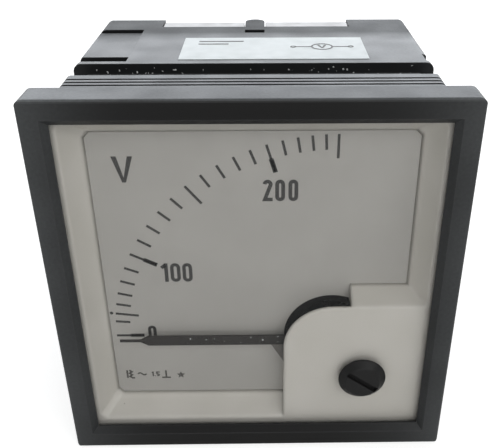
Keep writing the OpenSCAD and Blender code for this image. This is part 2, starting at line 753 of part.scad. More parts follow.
// Black plate behind the dial that carries the whole movement.
module movement_frame() color([0.2, 0.2, 0.21]) {
    peg_x = (opening_h + dial_h) / 2;
    difference() {
        along_y(y_frame, y_neck) round_square(frame_h, 0.6);
        rod(eye_r + 0.4, y_frame - 1, y_neck + 1);
        for (a = leg_angles) at_pivot(a) rod(0.8, y_frame - 1, y_neck + 1, leg_dist, 0);
        for (a = bobbin_screw_angles) at_pivot(a) {
            rod(1, y_frame - 1, y_neck + 1, bobbin_screw_dist, 0);
            rod(1.9, y_frame - 1, y_frame + 1, bobbin_screw_dist, 0);
        }
    }
    for (side = [-1, 1]) rod(peg_r, y_dial, y_frame + eps, side * peg_x, 0);
}

bobbin_screw_dist = 11.5;
bobbin_screw_angles = [60, 215];
flange = 1.2;
core_t = 1;

module coil_bobbin() color([0.3, 0.3, 0.32]) difference() {
    core_r = bore_r + core_t;
    turned([[bore_r, y_bobbin], [bobbin_r, y_bobbin], [bobbin_r, y_bobbin + flange],
        [core_r, y_bobbin + flange], [core_r, y_bobbin_end - flange],
        [bobbin_r, y_bobbin_end - flange], [bobbin_r, y_bobbin_end], [bore_r, y_bobbin_end]]);
    for (a = bobbin_screw_angles) at_pivot(a)
        rod(0.8, y_bobbin - 1, y_bobbin + flange + 1, bobbin_screw_dist, 0);
    for (a = cup_screw_angles) at_pivot(a)
        rod(0.7, y_bobbin_end - flange - 1, y_bobbin_end + 1, cup_screw_dist, 0);
    for (a = pin_angles) at_pivot(a)
        rod(solder_pin_r, y_bobbin_end - flange - 1, y_bobbin_end + 1, solder_pin_dist, 0);
}

winding_r = bobbin_r - 1.2;
module coil_winding() color([0.55, 0.24, 0.12]) difference() {
    rod(winding_r, y_bobbin + flange, y_bobbin_end - flange);
    rod(bore_r + core_t, y_bobbin, y_bobbin_end);
}

module bobbin_screws() color([0.76, 0.76, 0.78]) {
    for (a = bobbin_screw_angles)
        let (x = ax + bobbin_screw_dist * cos(a), z = az + bobbin_screw_dist * sin(a))
        slotted_screw(0.8, 1.6, 0.8, y_frame + 0.2, y_bobbin + flange, x, z, 15);
}

solder_pin_r = 0.5;
solder_pin_dist = 12.2;
pin_angles = [110, 145];
module solder_pins() color([0.8, 0.68, 0.4])
    for (a = pin_angles) at_pivot(a)
        rod(solder_pin_r, y_bobbin_end - flange, y_bobbin_end + 4, solder_pin_dist, 0);

// Steel screen pressed over the bobbin's flanges.
module screening_can() color([0.6, 0.61, 0.62]) difference() {
    rod(bobbin_r + 0.6, y_bobbin, y_bobbin_end);
    rod(bobbin_r, y_bobbin - 1, y_bobbin_end + 1);
}

vane_y = y_bobbin + 4;
vane_l = 11;

// A curved strip between two radii, from angle a0 to a1, about the pivot.
module curved_strip(r0, r1, a0, a1, y0, y1) {
    intersection() {
        difference() {
            rod(r1, y0, y1);
            rod(r0, y0 - 1, y1 + 1);
        }
        translate([ax, 0, az]) along_y(y0 - 1, y1 + 1) polygon(concat([[0, 0]],
            [for (i = [0 : 4]) let (a = a0 + (a1 - a0) * i / 4) 20 * [cos(a), sin(a)]]));
    }
}

// Soft-iron strip in the bobbin's bore. It tapers, which shapes the scale.
module fixed_vane() color([0.5, 0.5, 0.52]) difference() {
    curved_strip(bore_r - 0.4, bore_r, -95, 30, vane_y, vane_y + vane_l);
    translate([ax, 0, az - 20]) linear_extrude(30) polygon([[-4, vane_y + vane_l + 1],
        [-4, vane_y + 5], [8, vane_y + vane_l + 1]]);
}

// Soft-iron strip that turns with the spindle, on two thin webs. It stands on the side away
// from the pointer, where its weight helps to balance it.
module moving_vane() color([0.55, 0.55, 0.57]) {
    curved_strip(4.2, 4.5, -10, 45, vane_y, vane_y + vane_l);
    for (y = [vane_y + 0.5, vane_y + vane_l - 0.9]) difference() {
        union() {
            at_pivot(17.5) translate([0, y, -0.7]) cube([4.35, 0.4, 1.4]);
            rod(1.2, y, y + 0.4);
        }
        rod(spindle_r, y - 1, y + 1);
    }
}

cup_screw_dist = 8.4;
cup_screw_angles = [0, 180];
cup_flange = 10.2;
cup_in = 4.2;
flange_t2 = 0.8;

module damping_disc() color([0.7, 0.7, 0.68]) difference() {
    rod(cup_in - 0.8, y_cup + 1.6, y_cup + 2.2);
    rod(spindle_r, y_cup, y_cup + 4);
}

module damping_lid() color([0.72, 0.6, 0.34]) difference() {
    rod(cup_flange, y_lid, y_cup);
    rod(spindle_r + 0.35, y_lid - 1, y_cup + 1);
    for (a = cup_screw_angles) at_pivot(a) rod(0.8, y_lid - 1, y_cup + 1, cup_screw_dist, 0);
}

// Cup of damping fluid round the rear of the spindle. It also holds the rear jewel.
module damping_cup() color([0.75, 0.62, 0.35]) difference() {
    turned([[cup_in, y_cup], [cup_flange, y_cup], [cup_flange, y_cup + flange_t2],
        [cup_in + 1.2, y_cup + flange_t2], [cup_in + 1, y_cup + flange_t2 + 0.2],
        [cup_in + 1, y_cup_end - 0.4], [cup_in + 0.6, y_cup_end], [jewel_r, y_cup_end],
        [jewel_r, y_cup_end - 1.4], [cup_in, y_cup_end - 1.4]]);
    for (a = cup_screw_angles) at_pivot(a) rod(0.8, y_cup - 1, y_cup + 2, cup_screw_dist, 0);
}

module cup_screws() color([0.76, 0.76, 0.78]) {
    for (a = cup_screw_angles) let (x = ax + cup_screw_dist * cos(a))
        translate([0, 2 * y_cup + 1.6, 0]) mirror([0, 1, 0])
            slotted_screw(0.7, 1.4, 0.7, y_cup + 0.1, y_cup + 0.8 + 1.4 + flange - 0.1, x, az, 20);
}

// ---- wiring and terminals --------------------------------------------------------------

resistor_r = 4.4;
resistor_l = 32;
resistor_at = [-6, 34, 16];

// Tubular wire-wound resistor in series with the coil.
module series_resistor() color([0.42, 0.47, 0.4]) translate(resistor_at) rotate([0, 90, 0]) {
    cylinder(r = resistor_r, h = resistor_l, center = true);
    for (side = [-1, 1]) translate([0, 0, side * (resistor_l / 2 - 1.6)])
        cylinder(r = resistor_r + 0.4, h = 3, center = true);
}

lead_r = 0.45;
stud_x = stud_spacing / 2;

// Leads: coil to resistor, resistor to the left terminal, coil to the right terminal.
module connecting_leads() color([0.75, 0.2, 0.15]) {
    pin_at = [for (a = pin_angles) [ax + solder_pin_dist * cos(a), y_bobbin_end + 4,
        az + solder_pin_dist * sin(a)]];
    end_r = resistor_at + [resistor_l / 2, 0, 0];
    end_l = resistor_at - [resistor_l / 2, 0, 0];
    lug_y = y_cover - lug_t;
    wire([pin_at[0], pin_at[0] + [0, 3, 0], [end_r.x + 5, pin_at[0].y + 3, 4],
        [end_r.x + 5, end_r.y, end_r.z], end_r], lead_r);
    wire([end_l, end_l - [4, 0, 0], [end_l.x - 4, lug_y - 4, lug_reach],
        [-stud_x, lug_y - 4, lug_reach], [-stud_x, lug_y, lug_reach]], lead_r);
    wire([pin_at[1], pin_at[1] + [0, 5, 0], [stud_x - 6, lug_y - 6, -4],
        [stud_x, lug_y - 4, lug_reach], [stud_x, lug_y, lug_reach]], lead_r);
}

thread_core = stud_r - 0.3;
lug_w = 3;

// What one terminal has, repeated on both sides.
module on_terminals() {
    for (side = [-1, 1]) translate([side * stud_x, 0, 0]) children();
}

// Brass studs with a square head inside the case.
module terminal_studs() color([0.8, 0.66, 0.36]) on_terminals() {
    y_nut_end = y_cover + cover_t + washer_t + nut_t;
    translate([-head_w / 2, y_cover - lug_t - head_l, -head_w / 2]) cube([head_w, head_l, head_w]);
    rod(stud_r, y_cover - lug_t - eps, y_cover + cover_t + washer_t, 0, 0);
    rod(thread_core, y_cover, y_nut_end + eps, 0, 0);
    rod(stud_r, y_nut_end, y_nut_end + stud_free, 0, 0);
}

module solder_lugs() color([0.82, 0.8, 0.74]) on_terminals() difference() {
    union() {
        rod(2 * stud_r, y_cover - lug_t, y_cover, 0, 0);
        translate([-lug_w / 2, y_cover - lug_t, 0]) cube([lug_w, lug_t, lug_reach + lug_w / 2]);
    }
    rod(stud_r, y_cover - lug_t - 1, y_cover + 1, 0, 0);
}

module terminal_washers() color([0.76, 0.77, 0.78]) on_terminals() difference() {
    rod(washer_d / 2, y_cover + cover_t, y_cover + cover_t + washer_t, 0, 0);
    rod(stud_r + loose, y_cover, y_cover + far, 0, 0);
}

module terminal_nuts() color([0.8, 0.66, 0.36]) on_terminals() difference() {
    translate([0, y_cover + cover_t + washer_t + nut_t, 0]) rotate([90, 0, 0])
        cylinder(r = nut_af / sqrt(3), h = nut_t, $fn = 6);
    rod(thread_core, y_cover, y_cover + far, 0, 0);
}

bezel();
window_pane();
dial_surround();
front_housing();
rear_case();
rear_cover();
rating_label();
dial_plate();
movement_frame();
front_bridge();
bridge_screws();
front_jewel_screw();
zero_screw();
zero_screw_clip();
zero_lever();
pointer();
pointer_hub();
spindle();
balance_cross();
balance_weights();
hair_spring();
moving_vane();
fixed_vane();
coil_bobbin();
coil_winding();
bobbin_screws();
solder_pins();
screening_can();
damping_disc();
damping_lid();
damping_cup();
cup_screws();
rear_jewel_screw();
series_resistor();
connecting_leads();
terminal_studs();
solder_lugs();
terminal_washers();
terminal_nuts();
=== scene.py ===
# %% [markdown]
# # A square panel meter
# This lesson dresses a voltmeter for a control panel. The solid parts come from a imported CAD
# model, the frame, and stay exactly where they are. What is added here is the finish of every
# surface, the printed figures, the screw threads and the dust that a used meter has gathered.

# %% Load the frame
import math
import bpy
import bmesh
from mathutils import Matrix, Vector


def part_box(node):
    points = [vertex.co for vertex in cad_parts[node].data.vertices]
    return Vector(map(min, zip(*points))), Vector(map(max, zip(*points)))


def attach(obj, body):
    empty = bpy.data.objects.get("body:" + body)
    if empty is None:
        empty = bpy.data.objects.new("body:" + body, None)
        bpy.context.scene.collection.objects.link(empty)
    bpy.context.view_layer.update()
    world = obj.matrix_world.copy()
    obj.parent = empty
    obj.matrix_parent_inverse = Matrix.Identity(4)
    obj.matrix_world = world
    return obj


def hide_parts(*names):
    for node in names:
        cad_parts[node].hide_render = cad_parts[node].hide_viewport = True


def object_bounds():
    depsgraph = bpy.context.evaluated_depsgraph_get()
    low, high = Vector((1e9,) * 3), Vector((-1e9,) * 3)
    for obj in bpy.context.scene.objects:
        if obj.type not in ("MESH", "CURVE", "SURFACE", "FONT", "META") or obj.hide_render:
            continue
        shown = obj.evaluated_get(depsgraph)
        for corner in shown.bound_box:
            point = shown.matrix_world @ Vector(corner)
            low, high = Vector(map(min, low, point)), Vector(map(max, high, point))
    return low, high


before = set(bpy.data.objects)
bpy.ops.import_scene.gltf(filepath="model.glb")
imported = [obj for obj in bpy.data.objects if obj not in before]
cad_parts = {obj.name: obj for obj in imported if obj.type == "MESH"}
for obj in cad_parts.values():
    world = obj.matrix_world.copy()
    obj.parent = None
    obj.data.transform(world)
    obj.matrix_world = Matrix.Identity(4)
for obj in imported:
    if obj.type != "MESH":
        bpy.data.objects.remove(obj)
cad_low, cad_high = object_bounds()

# %% [markdown]
# ## Units, colours and nodes
# Blender works in metres and this meter is 72 mm wide, so sizes are written in millimetres and
# multiplied by MM. Colours are written as hex values, the way a colour picker gives them, and
# turned to the linear values that the renderer adds up. One function adds every node.

# %% Helpers
MM = 0.001


def colour(hex_code, alpha=1.0):
    """Turns an sRGB hex colour to linear RGBA."""
    parts = [int(hex_code[i:i + 2], 16) / 255 for i in (1, 3, 5)]
    linear = [p / 12.92 if p <= 0.04045 else ((p + 0.055) / 1.055) ** 2.4 for p in parts]
    return (*linear, alpha)


def add(tree, kind, inputs=None, **settings):
    """Adds a node. An input, by name or number, takes a value or another node's output."""
    node = tree.nodes.new(kind)
    for name, value in settings.items():
        setattr(node, name, value)
    for key, value in (inputs or {}).items():
        if isinstance(value, bpy.types.NodeSocket):
            tree.links.new(value, node.inputs[key])
        else:
            node.inputs[key].default_value = value
    return node


def box_mm(node):
    """Lowest and highest corner of a CAD node, in millimetres."""
    low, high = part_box(node)
    return low / MM, high / MM


print("near-black #202020 is", round(colour("#202020")[0], 4), "in linear light")

# %% [markdown]
# ## Camera
# The meter stands on its lower edge, and the camera looks down at it from a hand's width away,
# which is why the far end of the case looks so much smaller than the front.

# %% Camera
SENSOR_W = 36.0
FOCAL = 51.84
EYE = Vector((2.31, -110.37, 72.14)) * MM
LOOK_DOWN = 30.1
LOOK_RIGHT = 0.89
SHIFT = (-0.0554, 0.0304)


def put(name, data):
    """Makes an object from its data and puts it in the scene."""
    thing = bpy.data.objects.new(name, data)
    bpy.context.scene.collection.objects.link(thing)
    return thing


camera_data = bpy.data.cameras.new("camera")
camera_data.sensor_width = SENSOR_W
camera_data.lens = FOCAL
camera_data.shift_x, camera_data.shift_y = SHIFT
camera_data.clip_start = 5 * MM
camera = put("camera", camera_data)
camera.location = EYE
camera.rotation_euler = (math.radians(90 - LOOK_DOWN), 0, math.radians(-LOOK_RIGHT))
bpy.context.scene.camera = camera
print("camera", round(EYE.length / MM), "mm from the centre of the panel seat")

# %% [markdown]
# ## White room
# The world is pure white wherever a ray sees it straight on, in a mirror or through a pane, and
# dimmer as a light, so that the lamps below shape the meter. The Standard view transform shows
# colours as they are written.

# %% World
ROOM_FILL = 0.42
world = bpy.data.worlds.new("white_room")
bpy.context.scene.world = world
world.use_nodes = True
sky = world.node_tree
sky.nodes.clear()


def seen_by(tree, first, *others):
    """1 for the named kinds of ray, and 0 for the rays that carry light to a surface."""
    ray = add(tree, "ShaderNodeLightPath").outputs
    seen = ray[first]
    for kind in others:
        seen = add(tree, "ShaderNodeMath", {0: seen, 1: ray[kind]}, operation="MAXIMUM").outputs[0]
    return seen


strength = add(sky, "ShaderNodeMapRange", {
    "Value": seen_by(sky, "Is Camera Ray", "Is Glossy Ray", "Is Transmission Ray"),
    "To Min": ROOM_FILL, "To Max": 1.0})
room = add(sky, "ShaderNodeBackground", {
    "Color": colour("#FFFFFF"), "Strength": strength.outputs[0]})
add(sky, "ShaderNodeOutputWorld", {"Surface": room.outputs[0]})
bpy.context.scene.view_settings.view_transform = "Standard"
print("world fill", ROOM_FILL)

# %% [markdown]
# ## Floor
# The floor is white paper. A diffuse sheet alone renders as light grey, so it also glows a
# little. Only the camera and mirrors see the glow, so it lights nothing and the shadow stays.

# %% Floor
FLOOR_HALF = 3.0
PAPER_GLOW = 0.6


def blank(name):
    """A new material with an empty node tree."""
    mat = bpy.data.materials.new(name)
    mat.use_nodes = True
    mat.node_tree.nodes.clear()
    return mat, mat.node_tree


def floor_paper():
    """White paper that is seen a little brighter than it is lit."""
    mat, tree = blank("white_paper_floor")
    lift = add(tree, "ShaderNodeMath", {
        0: seen_by(tree, "Is Camera Ray", "Is Glossy Ray"), 1: PAPER_GLOW}, operation="MULTIPLY")
    glow = add(tree, "ShaderNodeEmission", {
        "Color": colour("#FFFFFF"), "Strength": lift.outputs[0]})
    paper = add(tree, "ShaderNodeBsdfDiffuse", {"Color": colour("#DEDEDD")})
    both = add(tree, "ShaderNodeAddShader", {0: paper.outputs[0], 1: glow.outputs[0]})
    add(tree, "ShaderNodeOutputMaterial", {"Surface": both.outputs[0]})
    return mat


floor_z = cad_low.z
floor_mesh = bpy.data.meshes.new("floor")
floor_mesh.from_pydata([(x * FLOOR_HALF, y * FLOOR_HALF, floor_z)
                        for x, y in ((-1, -1), (1, -1), (1, 1), (-1, 1))], [], [(0, 1, 2, 3)])
floor_mesh.materials.append(floor_paper())
floor = put("floor", floor_mesh)
print("floor at", round(floor_z / MM, 1), "mm")

# %% [markdown]
# ## Lamps
# Black plastic shows little colour of its own: what the eye sees is what it mirrors. So the
# most important lamp is a wide soft box behind the meter, low enough to glance off the top
# faces. Two in front light the dial, one from high up and a small one from low down.


# %% Lamps
def soft_box(name, place, aim, size, watts, tint):
    """A rectangular area lamp at place, turned to face aim. All in metres."""
    data = bpy.data.lights.new(name, "AREA")
    data.shape = "RECTANGLE"
    data.size, data.size_y = size
    data.energy = watts
    data.color = colour(tint)[:3]
    lamp = put(name, data)
    lamp.location = place
    lamp.rotation_euler = (Vector(aim) - Vector(place)).to_track_quat("-Z", "Y").to_euler()
    lamp.visible_camera = False


soft_box("window_behind", place=(0.03, 0.70, 0.31), aim=(0, 0.02, 0.02), size=(0.9, 0.45),
         watts=3.2, tint="#F1F7FF")
soft_box("front_high", place=(0.32, -0.66, 0.50), aim=(0, 0, 0), size=(1.2, 0.35),
         watts=3.9, tint="#FFFFFF")
soft_box("front_low", place=(0.05, -0.80, 0.08), aim=(0, 0, 0), size=(0.45, 0.2),
         watts=1.0, tint="#FFFFFF")
print("three soft boxes")

# %% [markdown]
# ## Patterns that the finishes share
# Real surfaces are never even. Four small patterns do most of the work here: soft blotches,
# sparse flecks, a fine grain that catches the light, and a mask that finds the edges. Each one
# takes its size in millimetres.

# %% Patterns
EVEN = (1, 1, 1)
NOISE_RANGE = (0.32, 0.68)      # nearly all of a noise texture lies between these
EDGE_RANGE = (0.995, 0.85)      # how well a rounded normal agrees with the flat one


def blotches(tree, across_mm, low, high, detail=3.0, stretch=EVEN):
    """Soft blotches about across_mm wide, as a number from low to high."""
    where = add(tree, "ShaderNodeTexCoord").outputs["Object"]
    place = add(tree, "ShaderNodeMapping", {"Vector": where, "Scale": stretch})
    cloud = add(tree, "ShaderNodeTexNoise", {
        "Vector": place.outputs[0], "Scale": 1 / (across_mm * MM), "Detail": detail})
    even = add(tree, "ShaderNodeMapRange", {
        "Value": cloud.outputs[0], "From Min": NOISE_RANGE[0], "From Max": NOISE_RANGE[1],
        "To Min": low, "To Max": high})
    return even.outputs[0]


def flecks(tree, apart_mm, across_mm, share):
    """One fleck, 1 on 0, in a share of the cells of a random mesh apart_mm wide."""
    where = add(tree, "ShaderNodeTexCoord").outputs["Object"]
    cells = add(tree, "ShaderNodeTexVoronoi", {"Vector": where, "Scale": 1 / (apart_mm * MM)})
    chosen = add(tree, "ShaderNodeSeparateColor", {0: cells.outputs["Color"]})
    kept = add(tree, "ShaderNodeMath", {0: chosen.outputs[0], 1: share}, operation="LESS_THAN")
    size = add(tree, "ShaderNodeMath", {
        0: chosen.outputs[1], 1: across_mm / apart_mm / 2}, operation="MULTIPLY")
    near = add(tree, "ShaderNodeMath", {
        0: cells.outputs["Distance"], 1: size.outputs[0]}, operation="LESS_THAN")
    return add(tree, "ShaderNodeMath", {
        0: kept.outputs[0], 1: near.outputs[0]}, operation="MULTIPLY").outputs[0]


def grain(tree, across_mm, height_mm, edge_mm=0.0):
    """A normal for a fine raised grain, with edges rounded over edge_mm."""
    bump = add(tree, "ShaderNodeBump", {
        "Strength": 1.0, "Distance": height_mm * MM,
        "Height": blotches(tree, across_mm, 0, 1, detail=2.0)})
    if edge_mm:
        round_edge = add(tree, "ShaderNodeBevel", {"Radius": edge_mm * MM}, samples=6)
        tree.links.new(round_edge.outputs[0], bump.inputs["Normal"])
    return bump.outputs[0]


def edges(tree, width_mm):
    """1 on a sharp edge, falling to 0 at width_mm from it."""
    soft = add(tree, "ShaderNodeBevel", {"Radius": width_mm * MM}, samples=6)
    flat = add(tree, "ShaderNodeNewGeometry")
    agree = add(tree, "ShaderNodeVectorMath", {
        0: soft.outputs[0], 1: flat.outputs["Normal"]}, operation="DOT_PRODUCT")
    return add(tree, "ShaderNodeMapRange", {
        "Value": agree.outputs["Value"], "From Min": EDGE_RANGE[0],
        "From Max": EDGE_RANGE[1]}).outputs[0]


print("patterns: blotches, flecks, grain, edges")

# %% [markdown]
# ## Tones and materials
# A finish starts from a tone that drifts between two close colours, and may get a coat or a few
# specks over it. Every finish has one Principled shader: what is the same all over the surface
# is set on the shader, and only a pattern is linked to it.


# %% Tones and materials
def coat(tree, under, mask, hex_code):
    """A tone with a coat of another colour over it, where the mask is 1."""
    return add(tree, "ShaderNodeMix", {0: mask, 6: under, 7: colour(hex_code)},
               data_type="RGBA").outputs[2]


def uneven(tree, across_mm, first, second):
    """A tone that drifts from one hex colour to another in blotches about across_mm wide."""
    return coat(tree, colour(first), blotches(tree, across_mm, 0, 1), second)


def finish(name, inputs):
    """A material with one Principled shader. inputs are its constants."""
    mat, tree = blank(name)
    shader = add(tree, "ShaderNodeBsdfPrincipled", inputs)
    add(tree, "ShaderNodeOutputMaterial", {"Surface": shader.outputs[0]})
    return mat, tree, shader.inputs


def link(tree, sockets):
    """Links outputs to a shader's inputs, given as {input: output}."""
    for target, source in sockets.items():
        tree.links.new(source, target)


print("tones: coat and uneven")

# %% [markdown]
# ## Dust and painted sheen on the black mouldings
# A thin grey film lies on the faces that look up, and fades out down the sides. It is partly
# dust and partly painted sheen, the light that glances off the top faces. The rear of the case
# gets less of it, and a spot on the latch less still: painted shade. The narrow grooves behind
# the frame get none, which paints shade into them.

# %% Film of dust and painted sheen
# the film on top faces is partly dust and partly painted sheen
UP_FROM = 0.15                  # how far a face must look up before dust stays on it
FADE_Z = 25.0                   # the film fades out from this height down to the middle
REAR_BAND = (37.0, 44.0)        # where the rear of the case begins, along its depth
# painted shade: a spot on the latch where the film is thinner, so it reads darker
LATCH, LATCH_R = (-0.2, 52, 33.5), 7
# painted shade: the first number is how much the rear band thins the film
REAR_SHADE, LATCH_SHADE = 0.3, 0.7
HALF_W = 36.0                   # half the width of the frame


def place_of(tree):
    """X, Y and Z of the point that is shaded, in metres."""
    where = add(tree, "ShaderNodeTexCoord").outputs["Object"]
    return add(tree, "ShaderNodeSeparateXYZ", {0: where}).outputs


def near_spot(tree, centre_mm, r_mm):
    """1 at a point, falling softly to 0 at r_mm from it."""
    where = add(tree, "ShaderNodeTexCoord").outputs["Object"]
    gap = add(tree, "ShaderNodeVectorMath", {
        0: where, 1: tuple(c * MM for c in centre_mm)}, operation="DISTANCE")
    return add(tree, "ShaderNodeMapRange", {
        "Value": gap.outputs["Value"], "From Min": r_mm * MM, "From Max": r_mm * MM / 2}).outputs[0]


def at_rear(tree):
    """0 on the front of the case, rising to 1 on its rear band."""
    return add(tree, "ShaderNodeMapRange", {
        "Value": place_of(tree)["Y"], "From Min": REAR_BAND[0] * MM,
        "From Max": REAR_BAND[1] * MM}).outputs[0]


# painted shade: a groove gets no film, so it stays dark
def outside_shaded_groove(tree, top_mm, end_mm):
    """0 below the height top_mm and in front of the depth end_mm, and 1 elsewhere."""
    place = place_of(tree)
    deep = add(tree, "ShaderNodeMath", {0: place["Z"], 1: top_mm * MM}, operation="LESS_THAN")
    ahead = add(tree, "ShaderNodeMath", {0: place["Y"], 1: end_mm * MM}, operation="LESS_THAN")
    inside = add(tree, "ShaderNodeMath", {
        0: deep.outputs[0], 1: ahead.outputs[0]}, operation="MULTIPLY")
    return add(tree, "ShaderNodeMath", {0: 1.0, 1: inside.outputs[0]}, operation="SUBTRACT")


def dust_and_sheen(tree, dust_and_sheen_share, lean, shaded_groove):
    """The share of film on top faces, partly dust and partly painted sheen, tipped right by lean.
    The rear band and a spot on the latch get less of it, as painted shade, and a groove gets none.
    """
    normal = add(tree, "ShaderNodeNewGeometry").outputs["Normal"]
    up = add(tree, "ShaderNodeSeparateXYZ", {0: normal})
    place = place_of(tree)
    lies = add(tree, "ShaderNodeMapRange", {
        "Value": up.outputs["Z"], "From Min": UP_FROM, "To Min": 0.0, "To Max": dust_and_sheen_share})
    high = add(tree, "ShaderNodeMapRange", {
        "Value": place["Z"], "From Min": 0.0, "From Max": FADE_Z * MM})
    # painted shade: the rear band gets less film
    rear_shade = add(tree, "ShaderNodeMath", {0: at_rear(tree), 1: -REAR_SHADE, 2: 1.0},
                operation="MULTIPLY_ADD")
    tipped = add(tree, "ShaderNodeMath", {0: place["X"], 1: lean / (HALF_W * MM), 2: 1.0},
                 operation="MULTIPLY_ADD")
    # painted shade: a thinner film on the latch
    latch_shade = add(tree, "ShaderNodeMath", {
        0: near_spot(tree, LATCH, LATCH_R), 1: -LATCH_SHADE, 2: 1.0}, operation="MULTIPLY_ADD")
    # painted shade: no film inside the grooves
    groove_shade = [outside_shaded_groove(tree, *shaded_groove)] if shaded_groove else []
    for share in (high, rear_shade, *groove_shade, tipped, latch_shade):
        lies = add(tree, "ShaderNodeMath", {0: lies.outputs[0], 1: share.outputs[0]},
                   operation="MULTIPLY")
    return lies.outputs[0]


print("dust fades below", FADE_Z, "mm")

# %% [markdown]
# ## Black mouldings
# The frame and the case are black glass-filled polycarbonate. Their mould was spark-eroded, so
# the skin has a fine grain that spreads a highlight instead of mirroring it. Handling polishes
# the edges, and they are painted a lighter grey, partly for that wear and partly as a painted
# highlight. Fingers leave a film near the sides of the frame. The rear band of the case gets
# less film and less shine: painted shade, for the sheen that fades towards the rear. The grain
# is drawn 0.22 mm wide, about twice the real one, because a finer one wouldn't show.

# %% Black mouldings
# painted shade: the rear band shines less and gets less film, for the sheen fading towards the rear
SHINE, REAR_SHINE = 0.13, 0.02
# painted shade: where the grooves behind the frame stay dark
SHADED_GROOVE = (33.1, 13.2)


def black_moulding(name, skin, film, rubbed_and_highlight, dust_and_sheen_share, rough, grip=0.0, lean=0.0, shaded_groove=None):
    """Black plastic with a grey film and lighter edges, partly wear and partly painted highlight.
    The share of film on top faces is partly dust and partly painted sheen, grip the share that
    fingers left near the side edges, and lean tips the film to the right. The groove argument is
    the height and the depth in front of which a groove gets no film, as painted shade."""
    mat, tree, shader = finish(name, {"IOR": 1.47})
    outward = add(tree, "ShaderNodeMath", {0: place_of(tree)["X"], 1: 1 / (HALF_W * MM)},
                  operation="MULTIPLY")
    side = add(tree, "ShaderNodeMath", {0: outward.outputs[0], 1: 4.0}, operation="POWER")
    held = add(tree, "ShaderNodeMath", {
        0: side.outputs[0], 1: grip, 2: dust_and_sheen(tree, dust_and_sheen_share, lean, shaded_groove)},
        operation="MULTIPLY_ADD")
    patchy = add(tree, "ShaderNodeMath", {
        0: blotches(tree, 16, 0.8, 1.15, detail=1.0), 1: blotches(tree, 0.6, 0.9, 1.1)},
        operation="MULTIPLY")
    veil = add(tree, "ShaderNodeMath", {0: held.outputs[0], 1: patchy.outputs[0]},
               operation="MULTIPLY", use_clamp=True)
    shine = add(tree, "ShaderNodeMapRange", {
        "Value": at_rear(tree), "To Min": SHINE, "To Max": REAR_SHINE})
    # painted highlight: the edges turn a lighter grey, partly wear and partly a highlight along
    # them
    worn_and_highlit = coat(tree, coat(tree, colour(skin), veil.outputs[0], film), edges(tree, 0.3), rubbed_and_highlight)
    link(tree, {
        shader["Base Color"]: coat(tree, worn_and_highlit, flecks(tree, 3.2, 0.45, 0.10), "#8C8C88"),
        shader["Roughness"]: blotches(tree, 7, rough - 0.03, rough + 0.05, detail=1.0),
        shader["Specular IOR Level"]: shine.outputs[0],
        shader["Normal"]: grain(tree, 0.22, 0.006, 0.12),
    })
    return mat


# painted sheen: the grey film on top faces stands partly for dust and partly for the light glancing
# off them
bezel_black = black_moulding("polycarbonate_black_frame", "#0F0F0F", "#8E9294", "#3E3E3F",
                             dust_and_sheen_share=0.32, rough=0.40, grip=0.15, lean=-0.1)
case_black = black_moulding("polycarbonate_black_case", "#1E1F20", "#8E9294", "#3E3E3F",
                            dust_and_sheen_share=0.30, rough=0.33, lean=0.5, shaded_groove=SHADED_GROOVE)
plate_black = black_moulding("phenolic_black_plate", "#171717", "#6E6C68", "#2A2A2A",
                             dust_and_sheen_share=0.05, rough=0.5)
screw_black = black_moulding("polyamide_black_screw", "#191919", "#6A6A6A", "#1C1C1C",
                             dust_and_sheen_share=0.03, rough=0.36)
print("black mouldings")

# %% [markdown]
# ## White mouldings, lacquered dial and grey cover
# The surround is satin white polystyrene. The dial is a sheet with matt white lacquer, and its
# scale is printed ink that stands a few hundredths of a millimetre proud, so the same material
# turns black wherever the surface lies in front of the lacquer. Satin and matt come from a
# grain that scatters the highlight. It is drawn 0.3 to 0.4 mm wide, coarser than the real one.

# %% White and grey parts
screw_low, screw_high = box_mm("zero_screw")
HOLE, HOLE_R = tuple((screw_low + screw_high) / 2), 13
MARK_RISE = 0.04                # how far the printed marks stand in front of the dial


def satin_moulding(name, skin, shade, rough, edge_mm):
    """Satin plastic, yellower in patches, with edges rounded over edge_mm. Round the zero screw
    the cover is too thin for that rounding, so the flat normal takes over there."""
    mat, tree, shader = finish(name, {"IOR": 1.53})
    flat = add(tree, "ShaderNodeNewGeometry").outputs["True Normal"]
    normal = add(tree, "ShaderNodeMix", {
        0: near_spot(tree, HOLE, HOLE_R), 4: grain(tree, 0.3, 0.003, edge_mm), 5: flat},
        data_type="VECTOR")
    tone = uneven(tree, 14, skin, shade)
    link(tree, {
        shader["Base Color"]: coat(tree, tone, flecks(tree, 4.5, 0.24, 0.10), "#6E6A62"),
        shader["Roughness"]: blotches(tree, 3, rough - 0.05, rough + 0.06),
        shader["Normal"]: normal.outputs[1],
    })
    return mat


def dial_lacquer():
    """Matt white lacquer with black printed marks."""
    mat, tree, shader = finish("matt_white_lacquer", {"IOR": 1.5})
    ink_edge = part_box("dial_plate")[0].y + MARK_RISE / 2 * MM
    ink = add(tree, "ShaderNodeMath", {0: place_of(tree)["Y"], 1: ink_edge},
              operation="LESS_THAN").outputs[0]
    sheet = uneven(tree, 16, "#A19F9A", "#9B9994")
    dusty = coat(tree, sheet, flecks(tree, 5, 0.22, 0.12), "#84827C")
    link(tree, {
        shader["Base Color"]: coat(tree, dusty, ink, "#1C1B1A"),
        shader["Roughness"]: blotches(tree, 2, 0.55, 0.68),
        shader["Normal"]: grain(tree, 0.4, 0.003),
    })
    return mat


surround_white = satin_moulding("polystyrene_white_satin", "#BDBAB3", "#B6B3AB",
                                rough=0.42, edge_mm=1.1)
dial_white = dial_lacquer()
cover_grey = satin_moulding("polycarbonate_pale_grey", "#ABA9A8", "#A19F9E",
                            rough=0.4, edge_mm=0.3)
print("pale parts")

# %% [markdown]
# ## Printing ink
# Figures are screen printed. The ink is near black and matt, and thinner in places. Small signs
# get less of it, so they are greyer.


